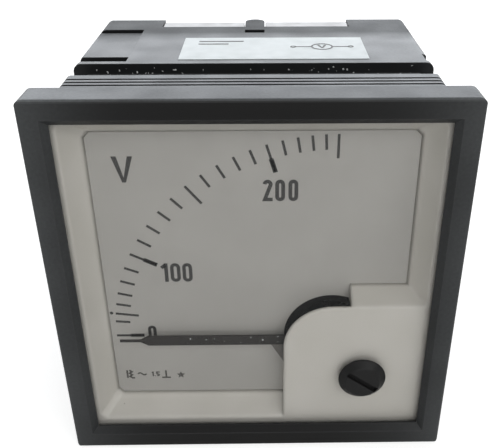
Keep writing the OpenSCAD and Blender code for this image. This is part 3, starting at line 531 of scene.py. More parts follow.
# %% Printing ink
def printing_ink(name, dark, pale):
    """Screen printing ink: near black, thinner and paler in places."""
    mat, tree, shader = finish(name, {"IOR": 1.5})
    link(tree, {
        shader["Base Color"]: uneven(tree, 0.6, dark, pale),
        shader["Roughness"]: blotches(tree, 0.5, 0.45, 0.6),
    })
    return mat


ink_black = printing_ink("printing_ink_black", "#131211", "#201F1D")
ink_faint = printing_ink("printing_ink_thin", "#33312E", "#4A4844")
print("inks")

# %% [markdown]
# ## Clear pane
# The pane is flat clear acrylic. Light should pass straight through it on to the dial, so the
# shader lets rays by unbent and only adds what the two polished faces mirror: a little looking
# straight on, and much more at a glancing angle. A few specks of dust lie on it.

# %% Pane
GLANCE_LOW, GLANCE_HIGH = 0.012, 0.9
SPECK_HAZE = 0.25               # how much a speck of dust hides


def clear_pane():
    """Polished clear acrylic, with a breath of dust. Its flat normal keeps it free of shading."""
    mat, tree = blank("acrylic_clear_pane")
    through = add(tree, "ShaderNodeBsdfTransparent", {"Color": colour("#FCFCFC")})
    flat = add(tree, "ShaderNodeNewGeometry").outputs["True Normal"]
    mirror = add(tree, "ShaderNodeBsdfPrincipled", {
        "Base Color": colour("#E8EAEA"), "Roughness": 0.04, "IOR": 1.49, "Normal": flat})
    facing = add(tree, "ShaderNodeLayerWeight", {"Blend": 0.5, "Normal": flat}).outputs["Facing"]
    steep = add(tree, "ShaderNodeMath", {0: facing, 1: 5.0}, operation="POWER")
    gloss = add(tree, "ShaderNodeMapRange", {
        "Value": steep.outputs[0], "To Min": GLANCE_LOW, "To Max": GLANCE_HIGH})
    hazy = add(tree, "ShaderNodeMath", {
        0: flecks(tree, 3.5, 0.35, 0.10), 1: SPECK_HAZE, 2: gloss.outputs[0]},
        operation="MULTIPLY_ADD")
    both = add(tree, "ShaderNodeMixShader", {
        0: hazy.outputs[0], 1: through.outputs[0], 2: mirror.outputs[0]})
    add(tree, "ShaderNodeOutputMaterial", {"Surface": both.outputs[0]})
    return mat


pane_clear = clear_pane()
print("pane mirrors", GLANCE_LOW, "straight on and", GLANCE_HIGH, "at a glance")

# %% [markdown]
# ## Metals
# Brass for the turned parts, zinc-plated steel for the screws, die-cast alloy for the bridge and
# soft iron for the vanes. Turning and drawing leave fine lines along or round the work, so the
# pattern is stretched along the meter's depth. Castings and sheet get an even one. The lines
# are drawn coarser than real ones, so that they show.

# %% Metals
ALONG = (1, 0.08, 1)


def metal(name, bright, dull, rough, line_mm, stretch=EVEN):
    """Bare metal with fine tool lines line_mm apart, drawn out by stretch."""
    mat, tree, shader = finish(name, {"Metallic": 1.0})
    lines = blotches(tree, line_mm, 0, 1, detail=2.0, stretch=stretch)
    round_edge = add(tree, "ShaderNodeBevel", {"Radius": 0.1 * MM}, samples=4)
    bump = add(tree, "ShaderNodeBump", {
        "Strength": 0.6, "Distance": 0.01 * MM, "Height": lines, "Normal": round_edge.outputs[0]})
    link(tree, {
        shader["Base Color"]: uneven(tree, 3, bright, dull),
        shader["Roughness"]: blotches(tree, 1.2, rough - 0.07, rough + 0.1),
        shader["Normal"]: bump.outputs[0],
    })
    return mat


turned_brass = metal("brass_turned", "#D9B56A", "#A98546", rough=0.28, line_mm=0.12,
                     stretch=ALONG)
zinc_steel = metal("steel_zinc_plated", "#C6C9CC", "#9FA2A4", rough=0.3, line_mm=0.15,
                   stretch=ALONG)
cast_alloy = metal("zinc_die_cast", "#B0B2B3", "#8F9192", rough=0.5, line_mm=0.5)
soft_iron = metal("iron_soft_sheet", "#8D8F92", "#6C6E70", rough=0.45, line_mm=0.3)
tinned_brass = metal("brass_tinned", "#CFCBC0", "#A9A69B", rough=0.34, line_mm=0.25)
print("metals")

# %% [markdown]
# ## Pointer
# The pointer is cut from thin aluminium sheet and sprayed matt black, so that it reads well on
# white and weighs nearly nothing. Behind the blade, its flare and crank are coloured a lighter
# grey.

# %% Pointer lacquer
BLADE_BACK = 0.245              # just inside the back of the 0.25 mm blade


def pointer_lacquer():
    """Matt black lacquer on thin aluminium, greyer on what lies behind the blade."""
    mat, tree, shader = finish("aluminium_black_lacquer", {"IOR": 1.5, "Specular IOR Level": 0.25})
    behind = add(tree, "ShaderNodeMath", {
        0: place_of(tree)["Y"], 1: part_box("pointer")[0].y + BLADE_BACK * MM},
        operation="GREATER_THAN").outputs[0]
    link(tree, {
        shader["Base Color"]: coat(tree, uneven(tree, 5, "#1E1C1A", "#262321"), behind, "#615E5A"),
        shader["Roughness"]: blotches(tree, 1, 0.55, 0.7),
        shader["Normal"]: grain(tree, 0.15, 0.002),
    })
    return mat


pointer_black = pointer_lacquer()
print("pointer lacquer")

# %% [markdown]
# ## Coil, resistor and leads
# The coil is enamelled copper wire in close layers, which a wave texture draws as one ridge for
# each turn. The resistor is wire under grey-green glass enamel, and the leads have a soft red
# vinyl coat.

# %% Coil, resistor and leads
TURN = 0.3                      # wire thickness, drawn coarser than the real wire
WAVES = 20                      # a wave texture at scale 1 has 20 radians to a metre


def copper_turns():
    """Enamelled copper wire in close layers: one ridge for each turn."""
    mat, tree, shader = finish("copper_enamelled_wire", {"Metallic": 0.8, "Coat Weight": 0.5})
    where = add(tree, "ShaderNodeTexCoord").outputs["Object"]
    ridge = add(tree, "ShaderNodeTexWave", {
        "Vector": where, "Scale": math.tau / (WAVES * TURN * MM)},
        wave_type="BANDS", bands_direction="Y")
    bump = add(tree, "ShaderNodeBump", {"Distance": 0.1 * MM, "Height": ridge.outputs[1]})
    link(tree, {
        shader["Base Color"]: uneven(tree, 2, "#A4552B", "#7C3A1C"),
        shader["Roughness"]: blotches(tree, 1, 0.22, 0.35),
        shader["Normal"]: bump.outputs[0],
    })
    return mat


def resistor_enamel():
    """Grey-green vitreous enamel over a wire winding."""
    mat, tree, shader = finish("vitreous_enamel_green", {"IOR": 1.52})
    link(tree, {
        shader["Base Color"]: uneven(tree, 3, "#5D6B52", "#49563F"),
        shader["Roughness"]: blotches(tree, 1, 0.12, 0.3),
        shader["Normal"]: grain(tree, 1.1, 0.05),
    })
    return mat


def red_pvc():
    """Red soft vinyl insulation, slightly waxy."""
    mat, tree, shader = finish("vinyl_insulation_red", {"IOR": 1.53})
    link(tree, {
        shader["Base Color"]: uneven(tree, 4, "#B3241D", "#8E1B17"),
        shader["Roughness"]: blotches(tree, 0.8, 0.38, 0.5),
        shader["Normal"]: grain(tree, 0.3, 0.01),
    })
    return mat


copper_winding = copper_turns()
resistor_green = resistor_enamel()
lead_red = red_pvc()
print("coil, resistor and leads")

# %% [markdown]
# ## Label film
# The label is silvery white polyester film, stuck on the case. It is smoother than the plastic
# round it, with faint handling marks.


# %% Label film
def label_film():
    """Silvery white polyester film, satin, with faint handling marks."""
    mat, tree, shader = finish("polyester_label_film", {"IOR": 1.57, "Specular IOR Level": 0.3})
    tone = uneven(tree, 11, "#BEC5C4", "#B6BDBC")
    link(tree, {
        shader["Base Color"]: coat(tree, tone, flecks(tree, 4, 0.25, 0.15), "#A7ADAE"),
        shader["Roughness"]: blotches(tree, 2, 0.32, 0.42),
        shader["Normal"]: grain(tree, 0.7, 0.002),
    })
    return mat


label_white = label_film()
print("label film")

# %% [markdown]
# ## Dressing the CAD parts
# Each part keeps its mesh and only changes its material. One table says which finish it has.

# %% Dress
finishes = {
    bezel_black: ["bezel"],
    case_black: ["front_housing", "rear_case"],
    plate_black: ["movement_frame", "coil_bobbin"],
    screw_black: ["zero_screw"],
    surround_white: ["dial_surround"],
    dial_white: ["dial_plate"],
    cover_grey: ["rear_cover"],
    label_white: ["rating_label"],
    pane_clear: ["window_pane"],
    pointer_black: ["pointer"],
    turned_brass: ["pointer_hub", "balance_weights", "hair_spring", "zero_lever", "solder_pins",
                   "front_jewel_screw", "rear_jewel_screw", "damping_lid", "damping_cup",
                   "terminal_studs", "terminal_nuts"],
    zinc_steel: ["bridge_screws", "bobbin_screws", "cup_screws", "zero_screw_clip", "spindle",
                 "terminal_washers"],
    cast_alloy: ["front_bridge", "balance_cross", "damping_disc"],
    soft_iron: ["moving_vane", "fixed_vane", "screening_can"],
    tinned_brass: ["solder_lugs"],
    copper_winding: ["coil_winding"],
    resistor_green: ["series_resistor"],
    lead_red: ["connecting_leads"],
}
for mat, parts in finishes.items():
    for part in parts:
        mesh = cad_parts[part].data
        mesh.materials.clear()
        mesh.materials.append(mat)
undressed = set(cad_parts) - {part for parts in finishes.values() for part in parts}
print("undressed parts:", sorted(undressed) or "none")

# %% [markdown]
# ## Printed figures
# The marks of the scale belong to the dial part. The figures and signs are ink laid on it. A
# figure is one or two strokes, and a stroke is a flat band that follows a line, so a short list
# of points and arcs gives each one in the plain narrow style of instrument dials.

# %% Strokes
INK_T = 0.045                   # how thick the ink lies, in millimetres


def arc(x, z, r, start, end, steps=9):
    """Points on a circle, between two angles in degrees."""
    turns = [math.radians(start + (end - start) * i / steps) for i in range(steps + 1)]
    return [(x + r * math.cos(t), z + r * math.sin(t)) for t in turns]


def stroke_solid(bm, line, width, closed, to_place):
    """Adds a flat band of ink along a line of (u, v) points. Its corners are mitred."""
    points = [Vector(p) for p in line]
    last = len(points) - 1
    rings = []
    for i, here in enumerate(points):
        before = points[i - 1] if i or closed else here
        after = points[(i + 1) % len(points)] if i < last or closed else here
        step_in, step_out = (here - before).normalized(), (after - here).normalized()
        along = (step_in + step_out).normalized()
        lean = max(0.5, along.dot(step_out if step_out.length else step_in))
        side = Vector((-along.y, along.x)) * width / 2 / lean
        corners = [(here + side, INK_T), (here - side, INK_T), (here - side, 0), (here + side, 0)]
        rings.append([bm.verts.new(to_place(c.x, c.y, rise)) for c, rise in corners])
    for i in range(len(rings) if closed else last):
        one, two = rings[i], rings[(i + 1) % len(rings)]
        for k in range(4):
            bm.faces.new((one[k], one[(k + 1) % 4], two[(k + 1) % 4], two[k]))
    if not closed:
        bm.faces.new(rings[0])
        bm.faces.new(rings[last][::-1])


def filled_solid(bm, outline, to_place):
    """Adds a flat filled shape of ink inside an outline of (u, v) points."""
    top = [bm.verts.new(to_place(u, v, INK_T)) for u, v in outline]
    low = [bm.verts.new(to_place(u, v, 0)) for u, v in outline]
    bm.faces.new(top)
    bm.faces.new(low[::-1])
    for i in range(len(outline)):
        k = (i + 1) % len(outline)
        bm.faces.new((top[i], low[i], low[k], top[k]))


print("ink", INK_T, "mm thick")


# %% Keep a piece
def keep(name, bm, material, body):
    """Makes a finished piece from a bmesh and lets it ride on a body."""
    bmesh.ops.remove_doubles(bm, verts=bm.verts, dist=0.001 * MM)
    bmesh.ops.recalc_face_normals(bm, faces=bm.faces)
    mesh = bpy.data.meshes.new(name)
    bm.to_mesh(mesh)
    bm.free()
    mesh.materials.append(material)
    piece = put(name, mesh)
    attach(piece, body)
    print(name, len(mesh.polygons), "faces")
    return piece


print("keep: makes a piece of a bmesh")

# %% [markdown]
# ## Figures and signs
# Each figure fills a box of width w and height h with strokes of width s. It returns its lines
# as (points, closed), and closed is None where the line is an outline to fill.


# %% Figures
def figure_0(w, h, s):
    """A nought with straight sides and round ends."""
    r = (w - s) / 2
    return [(arc(w / 2, h - s / 2 - r, r, 0, 180) + arc(w / 2, s / 2 + r, r, 180, 360), True)]


def figure_1(w, h, s):
    """A one: a stem with a short flag."""
    stem = w - s / 2
    return [([(stem, 0), (stem, h)], False), ([(stem, h - s * 0.4), (0.1 * w, h * 0.76)], False)]


def figure_2(w, h, s):
    """A two: a bow, a slanting stroke and a foot."""
    r = (w - s) / 2
    return [(arc(w / 2, h - s / 2 - r, r, 175, -28) + [(s * 0.55, s / 2), (w, s / 2)], False)]


def figure_5(w, h, s):
    """A five: a flag, a short stem and an open bow."""
    r = (w - s) / 2
    return [([(w, h - s / 2), (s / 2, h - s / 2), (s / 2, h * 0.55)]
             + arc(w / 2, s / 2 + r, r, 120, -150), False)]


def letter_v(w, h, s):
    """A capital V, as an outline to fill."""
    return [([(0, h), (w / 2 - s * 0.4, 0), (w / 2 + s * 0.4, 0), (w, h), (w - s * 1.1, h),
              (w / 2, s * 1.1), (s * 1.1, h)], None)]


print("figures 0, 1, 2, 5 and V")


# %% Signs
def sign_moving_iron(w, h, s):
    """The sign of a moving-iron movement: a core beside a winding."""
    wave = [(w * (0.42 + 0.3 * (i % 2)), h * (1 - i / 5)) for i in range(6)]
    return [([(w * 0.15, 0), (w * 0.15, h)], False), (wave, False), ([(w * 0.6, 0), (w, 0)], False)]


def sign_alternating(w, h, s):
    """The sign of alternating current: one wave."""
    turn = [math.tau * i / 12 for i in range(13)]
    return [([(w * i / 12, h / 2 + h * 0.14 * math.sin(t)) for i, t in enumerate(turn)], False)]


def sign_upright(w, h, s):
    """The sign for a meter used upright: a stem on a base."""
    return [([(w / 2, 0), (w / 2, h)], False), ([(0, s / 2), (w, s / 2)], False)]


def sign_star(w, h, s):
    """The star that stands for the insulation test."""
    tips = [(w / 2 * (1 if i % 2 == 0 else 0.45), math.radians(90 + 36 * i)) for i in range(10)]
    return [([(w / 2 + r * math.cos(t), h / 2 + r * math.sin(t)) for r, t in tips], None)]


def sign_dot(w, h, s):
    """A round dot."""
    return [(arc(w / 2, w / 2, w / 2, 0, 330, 11), None)]


print("signs: moving iron, alternating, upright, star and dot")

# %% [markdown]
# ## Layout of the print
# A printer's layout says where each figure and sign goes, in millimetres from the centre of the
# front: (sign, left, bottom, width, height, stroke).

# %% Layout
FIGURES = [
    (letter_v, -24.02, 18.8, 3.64, 4.82, 0.8),
    (figure_2, 1.45, 15.02, 1.72, 4.1, 0.66),
    (figure_0, 3.62, 15.02, 1.7, 4.1, 0.66),
    (figure_0, 5.9, 15.02, 1.7, 4.1, 0.66),
    (figure_1, -17.4, -1.57, 1.3, 4.0, 0.66),
    (figure_0, -15.68, -1.57, 1.85, 4.0, 0.64),
    (figure_0, -13.45, -1.57, 1.8, 4.0, 0.64),
    (figure_0, -20.95, -15.65, 1.6, 4.0, 0.6),
]
SIGNS = [
    (sign_moving_iron, -26.3, -24.6, 1.65, 1.95, 0.36),
    (sign_alternating, -23.95, -24.5, 1.7, 1.8, 0.3),
    (figure_1, -21.2, -24.24, 0.4, 1.2, 0.26),
    (sign_dot, -20.66, -24.24, 0.22, 0.22, 0.1),
    (figure_5, -20.3, -24.24, 0.7, 1.2, 0.26),
    (sign_upright, -19.2, -24.73, 1.75, 1.95, 0.34),
    (sign_star, -16.25, -24.8, 1.75, 1.75, 0.3),
]
dial_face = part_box("dial_plate")[0].y + MARK_RISE * MM
pivot = (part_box("spindle")[0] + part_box("spindle")[1]) / 2 / MM


def on_dial(u, v, rise):
    """A point of the print on the dial, from millimetres across and up."""
    return (u * MM, dial_face - rise * MM, v * MM)


def set_type(name, items, to_place, material, body):
    """Prints a list of figures as one piece."""
    bm = bmesh.new()
    for sign, left, bottom, w, h, s in items:
        for line, closed in sign(w, h, s):
            moved = [(left + u, bottom + v) for u, v in line]
            if closed is None:
                filled_solid(bm, moved, to_place)
            else:
                stroke_solid(bm, moved, s, closed, to_place)
    keep(name, bm, material, body)


print(len(FIGURES), "figures and", len(SIGNS), "signs")

# %% [markdown]
# ## Scale
# A moving-iron movement answers slowly at first, so its marks crowd together near zero. The
# dial part carries the marks as thin ridges, and the ink on them spreads a little wider. A mark
# may be drawn for any value, because one rule gives its angle.

# %% Scale
FULL_SCALE, SWEEP = 250, 90
CLIMB, BEND, START = 1.99, 2.376, 0.972


def scale_turn(value):
    """The angle of a value on the scale, in radians from zero."""
    share = value / FULL_SCALE
    if share == 0:
        return 0.0
    return math.radians(SWEEP * (1 + START) * share ** CLIMB / (share ** BEND + START))


def on_scale(value, r):
    """A point of the scale at a radius from the pivot, in millimetres."""
    turn = scale_turn(value)
    return (pivot.x - r * math.cos(turn), pivot.z + r * math.sin(turn))


def scale_mark(value, r0, r1, s):
    """A mark of the scale between two radii, as an item of print."""
    ends = [on_scale(value, r1), on_scale(value, r0)]
    return (lambda w, h, width: [(ends, False)], 0, 0, 0, 0, s)


SCALE_R, OVER = 41.2, 0.1       # outer radius of the marks, and how far ink runs past them
MARK_W = 0.46
TENS, FIFTIES, HUNDREDS = 2.65, 4.25, 5.15
THICK_FROM, THICK_TO = 5.2, 2.6
marks = [scale_mark(v, SCALE_R - (TENS if v % 50 else FIFTIES), SCALE_R + OVER, MARK_W)
         for v in range(40, 251, 10) if v % 100]
marks += [scale_mark(v, SCALE_R - HUNDREDS, SCALE_R + OVER, MARK_W) for v in (0, 100, 200)]
# the inner half of a numbered mark is thick
marks += [scale_mark(v, SCALE_R - THICK_FROM, SCALE_R - THICK_TO, share * MARK_W)
          for v, share in ((100, 1.8), (200, 1.8), (0, 1.6))]

# a dot stands just outside the mark of 50
DOT_R, DOT_OUT = 0.33, 0.9
dot_x, dot_z = on_scale(50, SCALE_R + DOT_OUT)
dot = (sign_dot, dot_x - DOT_R, dot_z - DOT_R, 2 * DOT_R, 2 * DOT_R, 0.3)
print(len(marks), "marks, full scale at", round(math.degrees(scale_turn(FULL_SCALE))), "degrees")

# %% Print the dial
set_type("dial_figures", FIGURES + [dot], on_dial, ink_black, "meter")
set_type("dial_scale_ink", marks, on_dial, ink_black, "meter")
set_type("dial_signs", SIGNS, on_dial, ink_faint, "meter")

# %% [markdown]
# ## Air behind the pane
# The pane and the pivot cover touch face to face, and a ray can't tell which of two faces in one
# plane comes first. So a merged copy of the pane ends a hair in front of the cover.

# %% Pane with an air gap
AIR_GAP = 0.04
SAME_PLANE = 0.01
pane_mesh = bmesh.new()
pane_mesh.from_mesh(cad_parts["window_pane"].data)
pane_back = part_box("window_pane")[1].y
for corner in pane_mesh.verts:
    if corner.co.y > pane_back - SAME_PLANE * MM:
        corner.co.y = pane_back - AIR_GAP * MM
for face in pane_mesh.faces:
    face.smooth = False
clear_window = keep("clear_window", pane_mesh, pane_clear, "meter")
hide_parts("window_pane")

# %% [markdown]
# ## Label
# The film label on top carries only a plain wiring sketch: a round meter with a V between two
# terminals, and two ruled lines.

# %% Label print
label_low, label_high = box_mm("rating_label")


def on_label(u, v, rise):
    """A point on the label, from millimetres right and back from its front left corner."""
    return ((label_low.x + u) * MM, (label_low.y + v) * MM, (label_high.z + rise) * MM)


def sign_ring(w, h, s):
    """A circle."""
    return [(arc(w / 2, h / 2, (w - s) / 2, 0, 345, 23), True)]


def sign_rule(w, h, s):
    """A ruled line."""
    return [([(0, 0), (w, 0)], False)]


LABEL_SIGNS = [
    (sign_ring, 25.4, 6.2, 4.4, 4.4, 0.34), (letter_v, 26.7, 7.4, 1.8, 2.1, 0.4),
    (sign_rule, 22.4, 8.4, 3.0, 0, 0.3), (sign_rule, 29.8, 8.4, 3.0, 0, 0.3),
    (sign_ring, 21.3, 7.8, 1.2, 1.2, 0.26), (sign_ring, 32.7, 7.8, 1.2, 1.2, 0.26),
    (sign_rule, 3.0, 12.6, 9.0, 0, 0.5), (sign_rule, 3.0, 10.6, 6.0, 0, 0.5),
]
set_type("label_print", LABEL_SIGNS, on_label, ink_faint, "meter")

# %% [markdown]
# ## Threaded studs
# A thread is a ridge that winds round a core, which is what a node tree does well: a spiral
# curve carries a small diamond profile, and both terminals are instances of the same stud. The
# square head sits inside the case, where it cannot turn.


# %% Thread tree
def grow(name, tree, values, start_mesh, body):
    """Runs a node tree on a mesh and keeps the result as a plain mesh on a body."""
    piece = put(name, start_mesh)
    modifier = piece.modifiers.new("grow", "NODES")
    modifier.node_group = tree
    sockets = {s.name: s.identifier for s in tree.interface.items_tree if s.in_out == "INPUT"}
    for key, value in values.items():
        modifier[sockets[key]] = value
    graph = bpy.context.evaluated_depsgraph_get()
    mesh = bpy.data.meshes.new_from_object(piece.evaluated_get(graph), depsgraph=graph)
    piece.modifiers.clear()
    piece.data = mesh
    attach(piece, body)
    print(name, len(mesh.polygons), "faces")
    return piece


def tree_with(name, numbers):
    """A node tree with a mesh in, a mesh out and the named numbers."""
    tree = bpy.data.node_groups.new(name, "GeometryNodeTree")
    tree.interface.new_socket("Mesh", in_out="INPUT", socket_type="NodeSocketGeometry")
    for number in numbers:
        tree.interface.new_socket(number, in_out="INPUT", socket_type="NodeSocketFloat")
    tree.interface.new_socket("Mesh", in_out="OUTPUT", socket_type="NodeSocketGeometry")
    given = add(tree, "NodeGroupInput").outputs
    return tree, given


def shifted(tree, shape, by, turn=(0, 0, 0)):
    """A shape, turned and then moved by {axis: distance}."""
    place = add(tree, "ShaderNodeCombineXYZ", by)
    return add(tree, "GeometryNodeTransform", {
        0: shape.outputs[0], "Translation": place.outputs[0], "Rotation": turn})


def joined(tree, *shapes):
    """Several shapes as one."""
    whole = add(tree, "GeometryNodeJoinGeometry")
    for shape in shapes:
        tree.links.new(shape.outputs[0], whole.inputs[0])
    return whole


print("helpers: grow, tree_with, shifted, joined")

# %% [markdown]
# ## Parts of a stud
# The rod is a core with the spiral ridge on it, built standing up and then laid along Y. The
# head is a plain square block.

# %% Rod and head
LAY_DOWN = (-math.pi / 2, 0, 0)


def threaded_rod(tree, given):
    """A core with a spiral ridge, from the thread's start to its end."""
    spiral = add(tree, "GeometryNodeCurveSpiral", {
        "Resolution": 40, "Rotations": given["Turns"], "Start Radius": given["Core radius"],
        "End Radius": given["Core radius"], "Height": given["Thread length"]})
    diamond = add(tree, "GeometryNodeCurvePrimitiveCircle", {
        "Resolution": 4, "Radius": given["Ridge"]})
    ridge = add(tree, "GeometryNodeCurveToMesh", {
        "Curve": spiral.outputs[0], "Profile Curve": diamond.outputs[0], "Fill Caps": True})
    core = add(tree, "GeometryNodeMeshCylinder", {
        "Vertices": 40, "Radius": given["Core radius"], "Depth": given["Thread length"]})
    half = add(tree, "ShaderNodeMath", {0: given["Thread length"], 1: 0.5}, operation="MULTIPLY")
    rod = joined(tree, ridge, shifted(tree, core, {"Z": half.outputs[0]}))
    return shifted(tree, rod, {"Y": given["Thread start"]}, LAY_DOWN)


def square_head(tree, given):
    """A square block behind the thread."""
    size = add(tree, "ShaderNodeCombineXYZ", {
        "X": given["Head width"], "Y": given["Head thickness"], "Z": given["Head width"]})
    block = add(tree, "GeometryNodeMeshCube", {"Size": size.outputs[0]})
    middle = add(tree, "ShaderNodeMath", {
        0: given["Head thickness"], 1: 0.5, 2: given["Head start"]}, operation="MULTIPLY_ADD")
    return shifted(tree, block, {"Y": middle.outputs[0]})


print("stud: rod and head")


# %% Stud tree
def stud_tree():
    """Two threaded studs with square heads, side by side."""
    tree, given = tree_with("threaded_studs", [
        "Core radius", "Ridge", "Turns", "Thread length", "Thread start", "Head width",
        "Head thickness", "Head start", "Half spacing"])
    stud = joined(tree, threaded_rod(tree, given), square_head(tree, given))
    left = add(tree, "ShaderNodeMath", {0: given["Half spacing"], 1: -1.0}, operation="MULTIPLY")
    apart = add(tree, "ShaderNodeMath", {0: given["Half spacing"], 1: 2.0}, operation="MULTIPLY")
    begin = add(tree, "ShaderNodeCombineXYZ", {"X": left.outputs[0]})
    stride = add(tree, "ShaderNodeCombineXYZ", {"X": apart.outputs[0]})
    places = add(tree, "GeometryNodeMeshLine", {
        "Count": 2, "Start Location": begin.outputs[0], "Offset": stride.outputs[0]})
    pair = add(tree, "GeometryNodeInstanceOnPoints", {
        "Points": places.outputs[0], "Instance": stud.outputs[0]})
    solid = add(tree, "GeometryNodeRealizeInstances", {0: pair.outputs[0]})
    done = add(tree, "GeometryNodeSetMaterial", {0: solid.outputs[0], "Material": turned_brass})
    add(tree, "NodeGroupOutput", {0: done.outputs[0]})
    return tree


print("stud tree: two studs, a rod and a head each")

# %% [markdown]
# ## Sizes of the studs
# The thread starts at the solder lug and stops one ridge short of the end of the solid stud, so
# that its last turn doesn't stick out. The head fills what is left on the inner side. It is
# square, so its height gives its width, and from that follows how far apart the studs stand.

# %% Studs
THREAD_PITCH = 0.7              # the usual pitch of a thread 4 mm across
CREST_R, RIDGE = 2.0, 0.36
stud_low, stud_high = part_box("terminal_studs")
thread_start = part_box("solder_lugs")[0].y
thread_length = stud_high.y - RIDGE * MM - thread_start
head_w = stud_high.z - stud_low.z
half_spacing = stud_high.x - head_w / 2
studs = grow("threaded_studs", stud_tree(), {
    "Core radius": (CREST_R - RIDGE) * MM,
    "Ridge": RIDGE * MM,
    "Turns": thread_length / (THREAD_PITCH * MM),
    "Thread length": thread_length,
    "Thread start": thread_start,
    "Head width": head_w,
    "Head thickness": thread_start - stud_low.y,
    "Head start": stud_low.y,
    "Half spacing": half_spacing,
}, bpy.data.meshes.new("empty_start"), "meter")
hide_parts("terminal_studs")

# %% [markdown]
# ## Hexagon nuts
# A real nut is turned before it is milled, so a cone cuts its corners and leaves the curved
# edges that catch the light. The outline follows from the hexagon and the cone: where a corner
# reaches further out, the cone has cut it lower.

# %% Nuts
CONE_SHARE, CONE_SLOPE = 0.97, 30       # where the cone starts, and how steep it is in degrees
BORE_CHAMFER, THREAD_PLAY = 0.3, 0.1


def hex_nut(bm, x, y0, y1, flat_r, bore_r, steps=72):
    """Adds one chamfered nut with its axis along Y. Sizes in millimetres."""
    cone_r = flat_r * CONE_SHARE
    mouth_r = bore_r + BORE_CHAMFER
    rings = []
    for i in range(steps):
        turn = math.tau * i / steps
        across = flat_r / math.cos((turn % math.radians(60)) - math.radians(30))
        cut = max(0.0, (across - cone_r) * math.tan(math.radians(CONE_SLOPE)))
        profile = [(bore_r, y0 + BORE_CHAMFER), (mouth_r, y0), (cone_r, y0), (across, y0 + cut),
                   (across, y1 - cut), (cone_r, y1), (mouth_r, y1), (bore_r, y1 - BORE_CHAMFER)]
        rings.append([bm.verts.new(((x + r * math.cos(turn)) * MM, y * MM, r * math.sin(turn) * MM))
                      for r, y in profile])
    for i, ring in enumerate(rings):
        after = rings[(i + 1) % steps]
        for k in range(len(ring)):
            n = (k + 1) % len(ring)
            bm.faces.new((ring[k], ring[n], after[n], after[k]))


nut_low, nut_high = box_mm("terminal_nuts")
nuts_mesh = bmesh.new()
for side in (-1, 1):
    hex_nut(nuts_mesh, side * half_spacing / MM, nut_low.y, nut_high.y,
            flat_r=(nut_high.z - nut_low.z) / 2, bore_r=CREST_R - RIDGE + THREAD_PLAY)
nuts = keep("hexagon_nuts", nuts_mesh, turned_brass, "meter")
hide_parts("terminal_nuts")

# %% [markdown]
# ## Dust
# Lint has settled in the channel behind the sleeve and on the pointer. A node tree scatters
# small flattened grains over a patch, with a fixed seed so that they fall the same every time.

# %% Dust tree
THINNEST, THICKEST = (0.5, 0.5, 0.12), (1.5, 1.0, 0.25)     # a grain's sides, for a size of 1


def lint():
    """Pale grey lint: dull, with no gloss of its own."""
    mat, tree, shader = finish("dust_lint", {"Roughness": 0.9, "IOR": 1.4})
    link(tree, {shader["Base Color"]: uneven(tree, 0.5, "#C9CACA", "#8F908F")})
    return mat


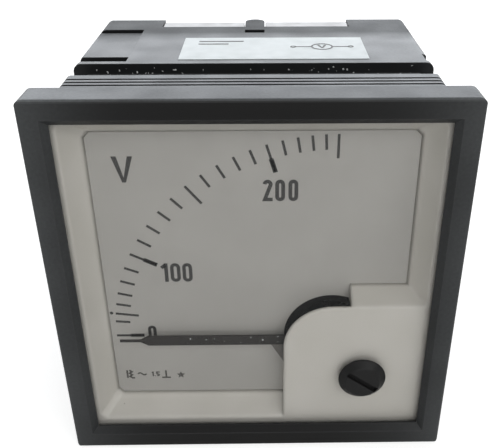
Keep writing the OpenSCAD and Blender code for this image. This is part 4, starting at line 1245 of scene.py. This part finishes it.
def dust_tree(name, seed):
    """Grains of dust on a patch."""
    tree, given = tree_with(name, ["Density", "Smallest", "Largest"])
    spots = add(tree, "GeometryNodeDistributePointsOnFaces", {
        "Mesh": given["Mesh"], "Density": given["Density"], "Seed": seed})
    size = add(tree, "FunctionNodeRandomValue", {
        2: given["Smallest"], 3: given["Largest"], "Seed": seed + 1}, data_type="FLOAT")
    shape = add(tree, "FunctionNodeRandomValue", {
        0: THINNEST, 1: THICKEST, "Seed": seed + 2}, data_type="FLOAT_VECTOR")
    scale = add(tree, "ShaderNodeVectorMath", {0: shape.outputs[0], "Scale": size.outputs[1]},
                operation="SCALE")
    spin = add(tree, "FunctionNodeRandomValue", {
        0: (0.0, 0.0, 0.0), 1: (0.0, 0.0, math.tau), "Seed": seed + 3}, data_type="FLOAT_VECTOR")
    turn = add(tree, "FunctionNodeRotateEuler", {
        0: spots.outputs["Rotation"], 1: spin.outputs[0]}, space="LOCAL")
    ball = add(tree, "GeometryNodeMeshIcoSphere", {"Radius": 0.5, "Subdivisions": 2})
    grains = add(tree, "GeometryNodeInstanceOnPoints", {
        "Points": spots.outputs[0], "Instance": ball.outputs[0],
        "Rotation": turn.outputs[0], "Scale": scale.outputs[0]})
    solid = add(tree, "GeometryNodeRealizeInstances", {0: grains.outputs[0]})
    done = add(tree, "GeometryNodeSetMaterial", {0: solid.outputs[0], "Material": lint()})
    add(tree, "NodeGroupOutput", {0: done.outputs[0]})
    return tree


print("dust tree: grains on a patch")

# %% [markdown]
# ## Where the lint lies
# It gathers in the corner between the floor of the channel and the step of the case, so its
# patch is a strip of floor and a strip of step. On the pointer it lies on the front of the bar.


# %% Lint in the channel
def patch(name, *panels):
    """Flat panels for dust to fall on. Each is four corners in millimetres."""
    corners = [tuple(c * MM for c in corner) for panel in panels for corner in panel]
    mesh = bpy.data.meshes.new(name)
    mesh.from_pydata(corners, [], [tuple(range(4 * i, 4 * i + 4)) for i in range(len(panels))])
    return mesh


CHANNEL_Z, CHANNEL_END, SPAN = 31.5, 21.3, 29.5
FLOOR_STRIP, STEP_STRIP = 1.3, 1.4
near, far, up = CHANNEL_END - FLOOR_STRIP, CHANNEL_END, CHANNEL_Z + STEP_STRIP
channel = patch(
    "channel_corner",
    [(-SPAN, near, CHANNEL_Z), (SPAN, near, CHANNEL_Z), (SPAN, far, CHANNEL_Z),
     (-SPAN, far, CHANNEL_Z)],
    [(-SPAN, far, CHANNEL_Z), (SPAN, far, CHANNEL_Z), (SPAN, far, up), (-SPAN, far, up)])
grow("dust_channel", dust_tree("dust_in_channel", 4), {
    "Density": 0.42 / MM ** 2, "Smallest": 0.10 * MM, "Largest": 0.38 * MM},
    channel, "meter")

# %% Lint on the pointer
FROM_TIP, FROM_PIVOT = 6, 9.5
BAR_HALF = 0.9
pointer_low = box_mm("pointer")[0]
tip_x, root_x = pointer_low.x + FROM_TIP, pivot.x - FROM_PIVOT
bar_low, bar_top = pivot.z - BAR_HALF, pivot.z + BAR_HALF
bar = patch("pointer_bar", [(x, pointer_low.y, z) for x, z in (
    (tip_x, bar_low), (root_x, bar_low), (root_x, bar_top), (tip_x, bar_top))])
grow("dust_pointer", dust_tree("dust_on_pointer", 11), {
    "Density": 0.22 / MM ** 2, "Smallest": 0.12 * MM, "Largest": 0.45 * MM},
    bar, "moving_system")
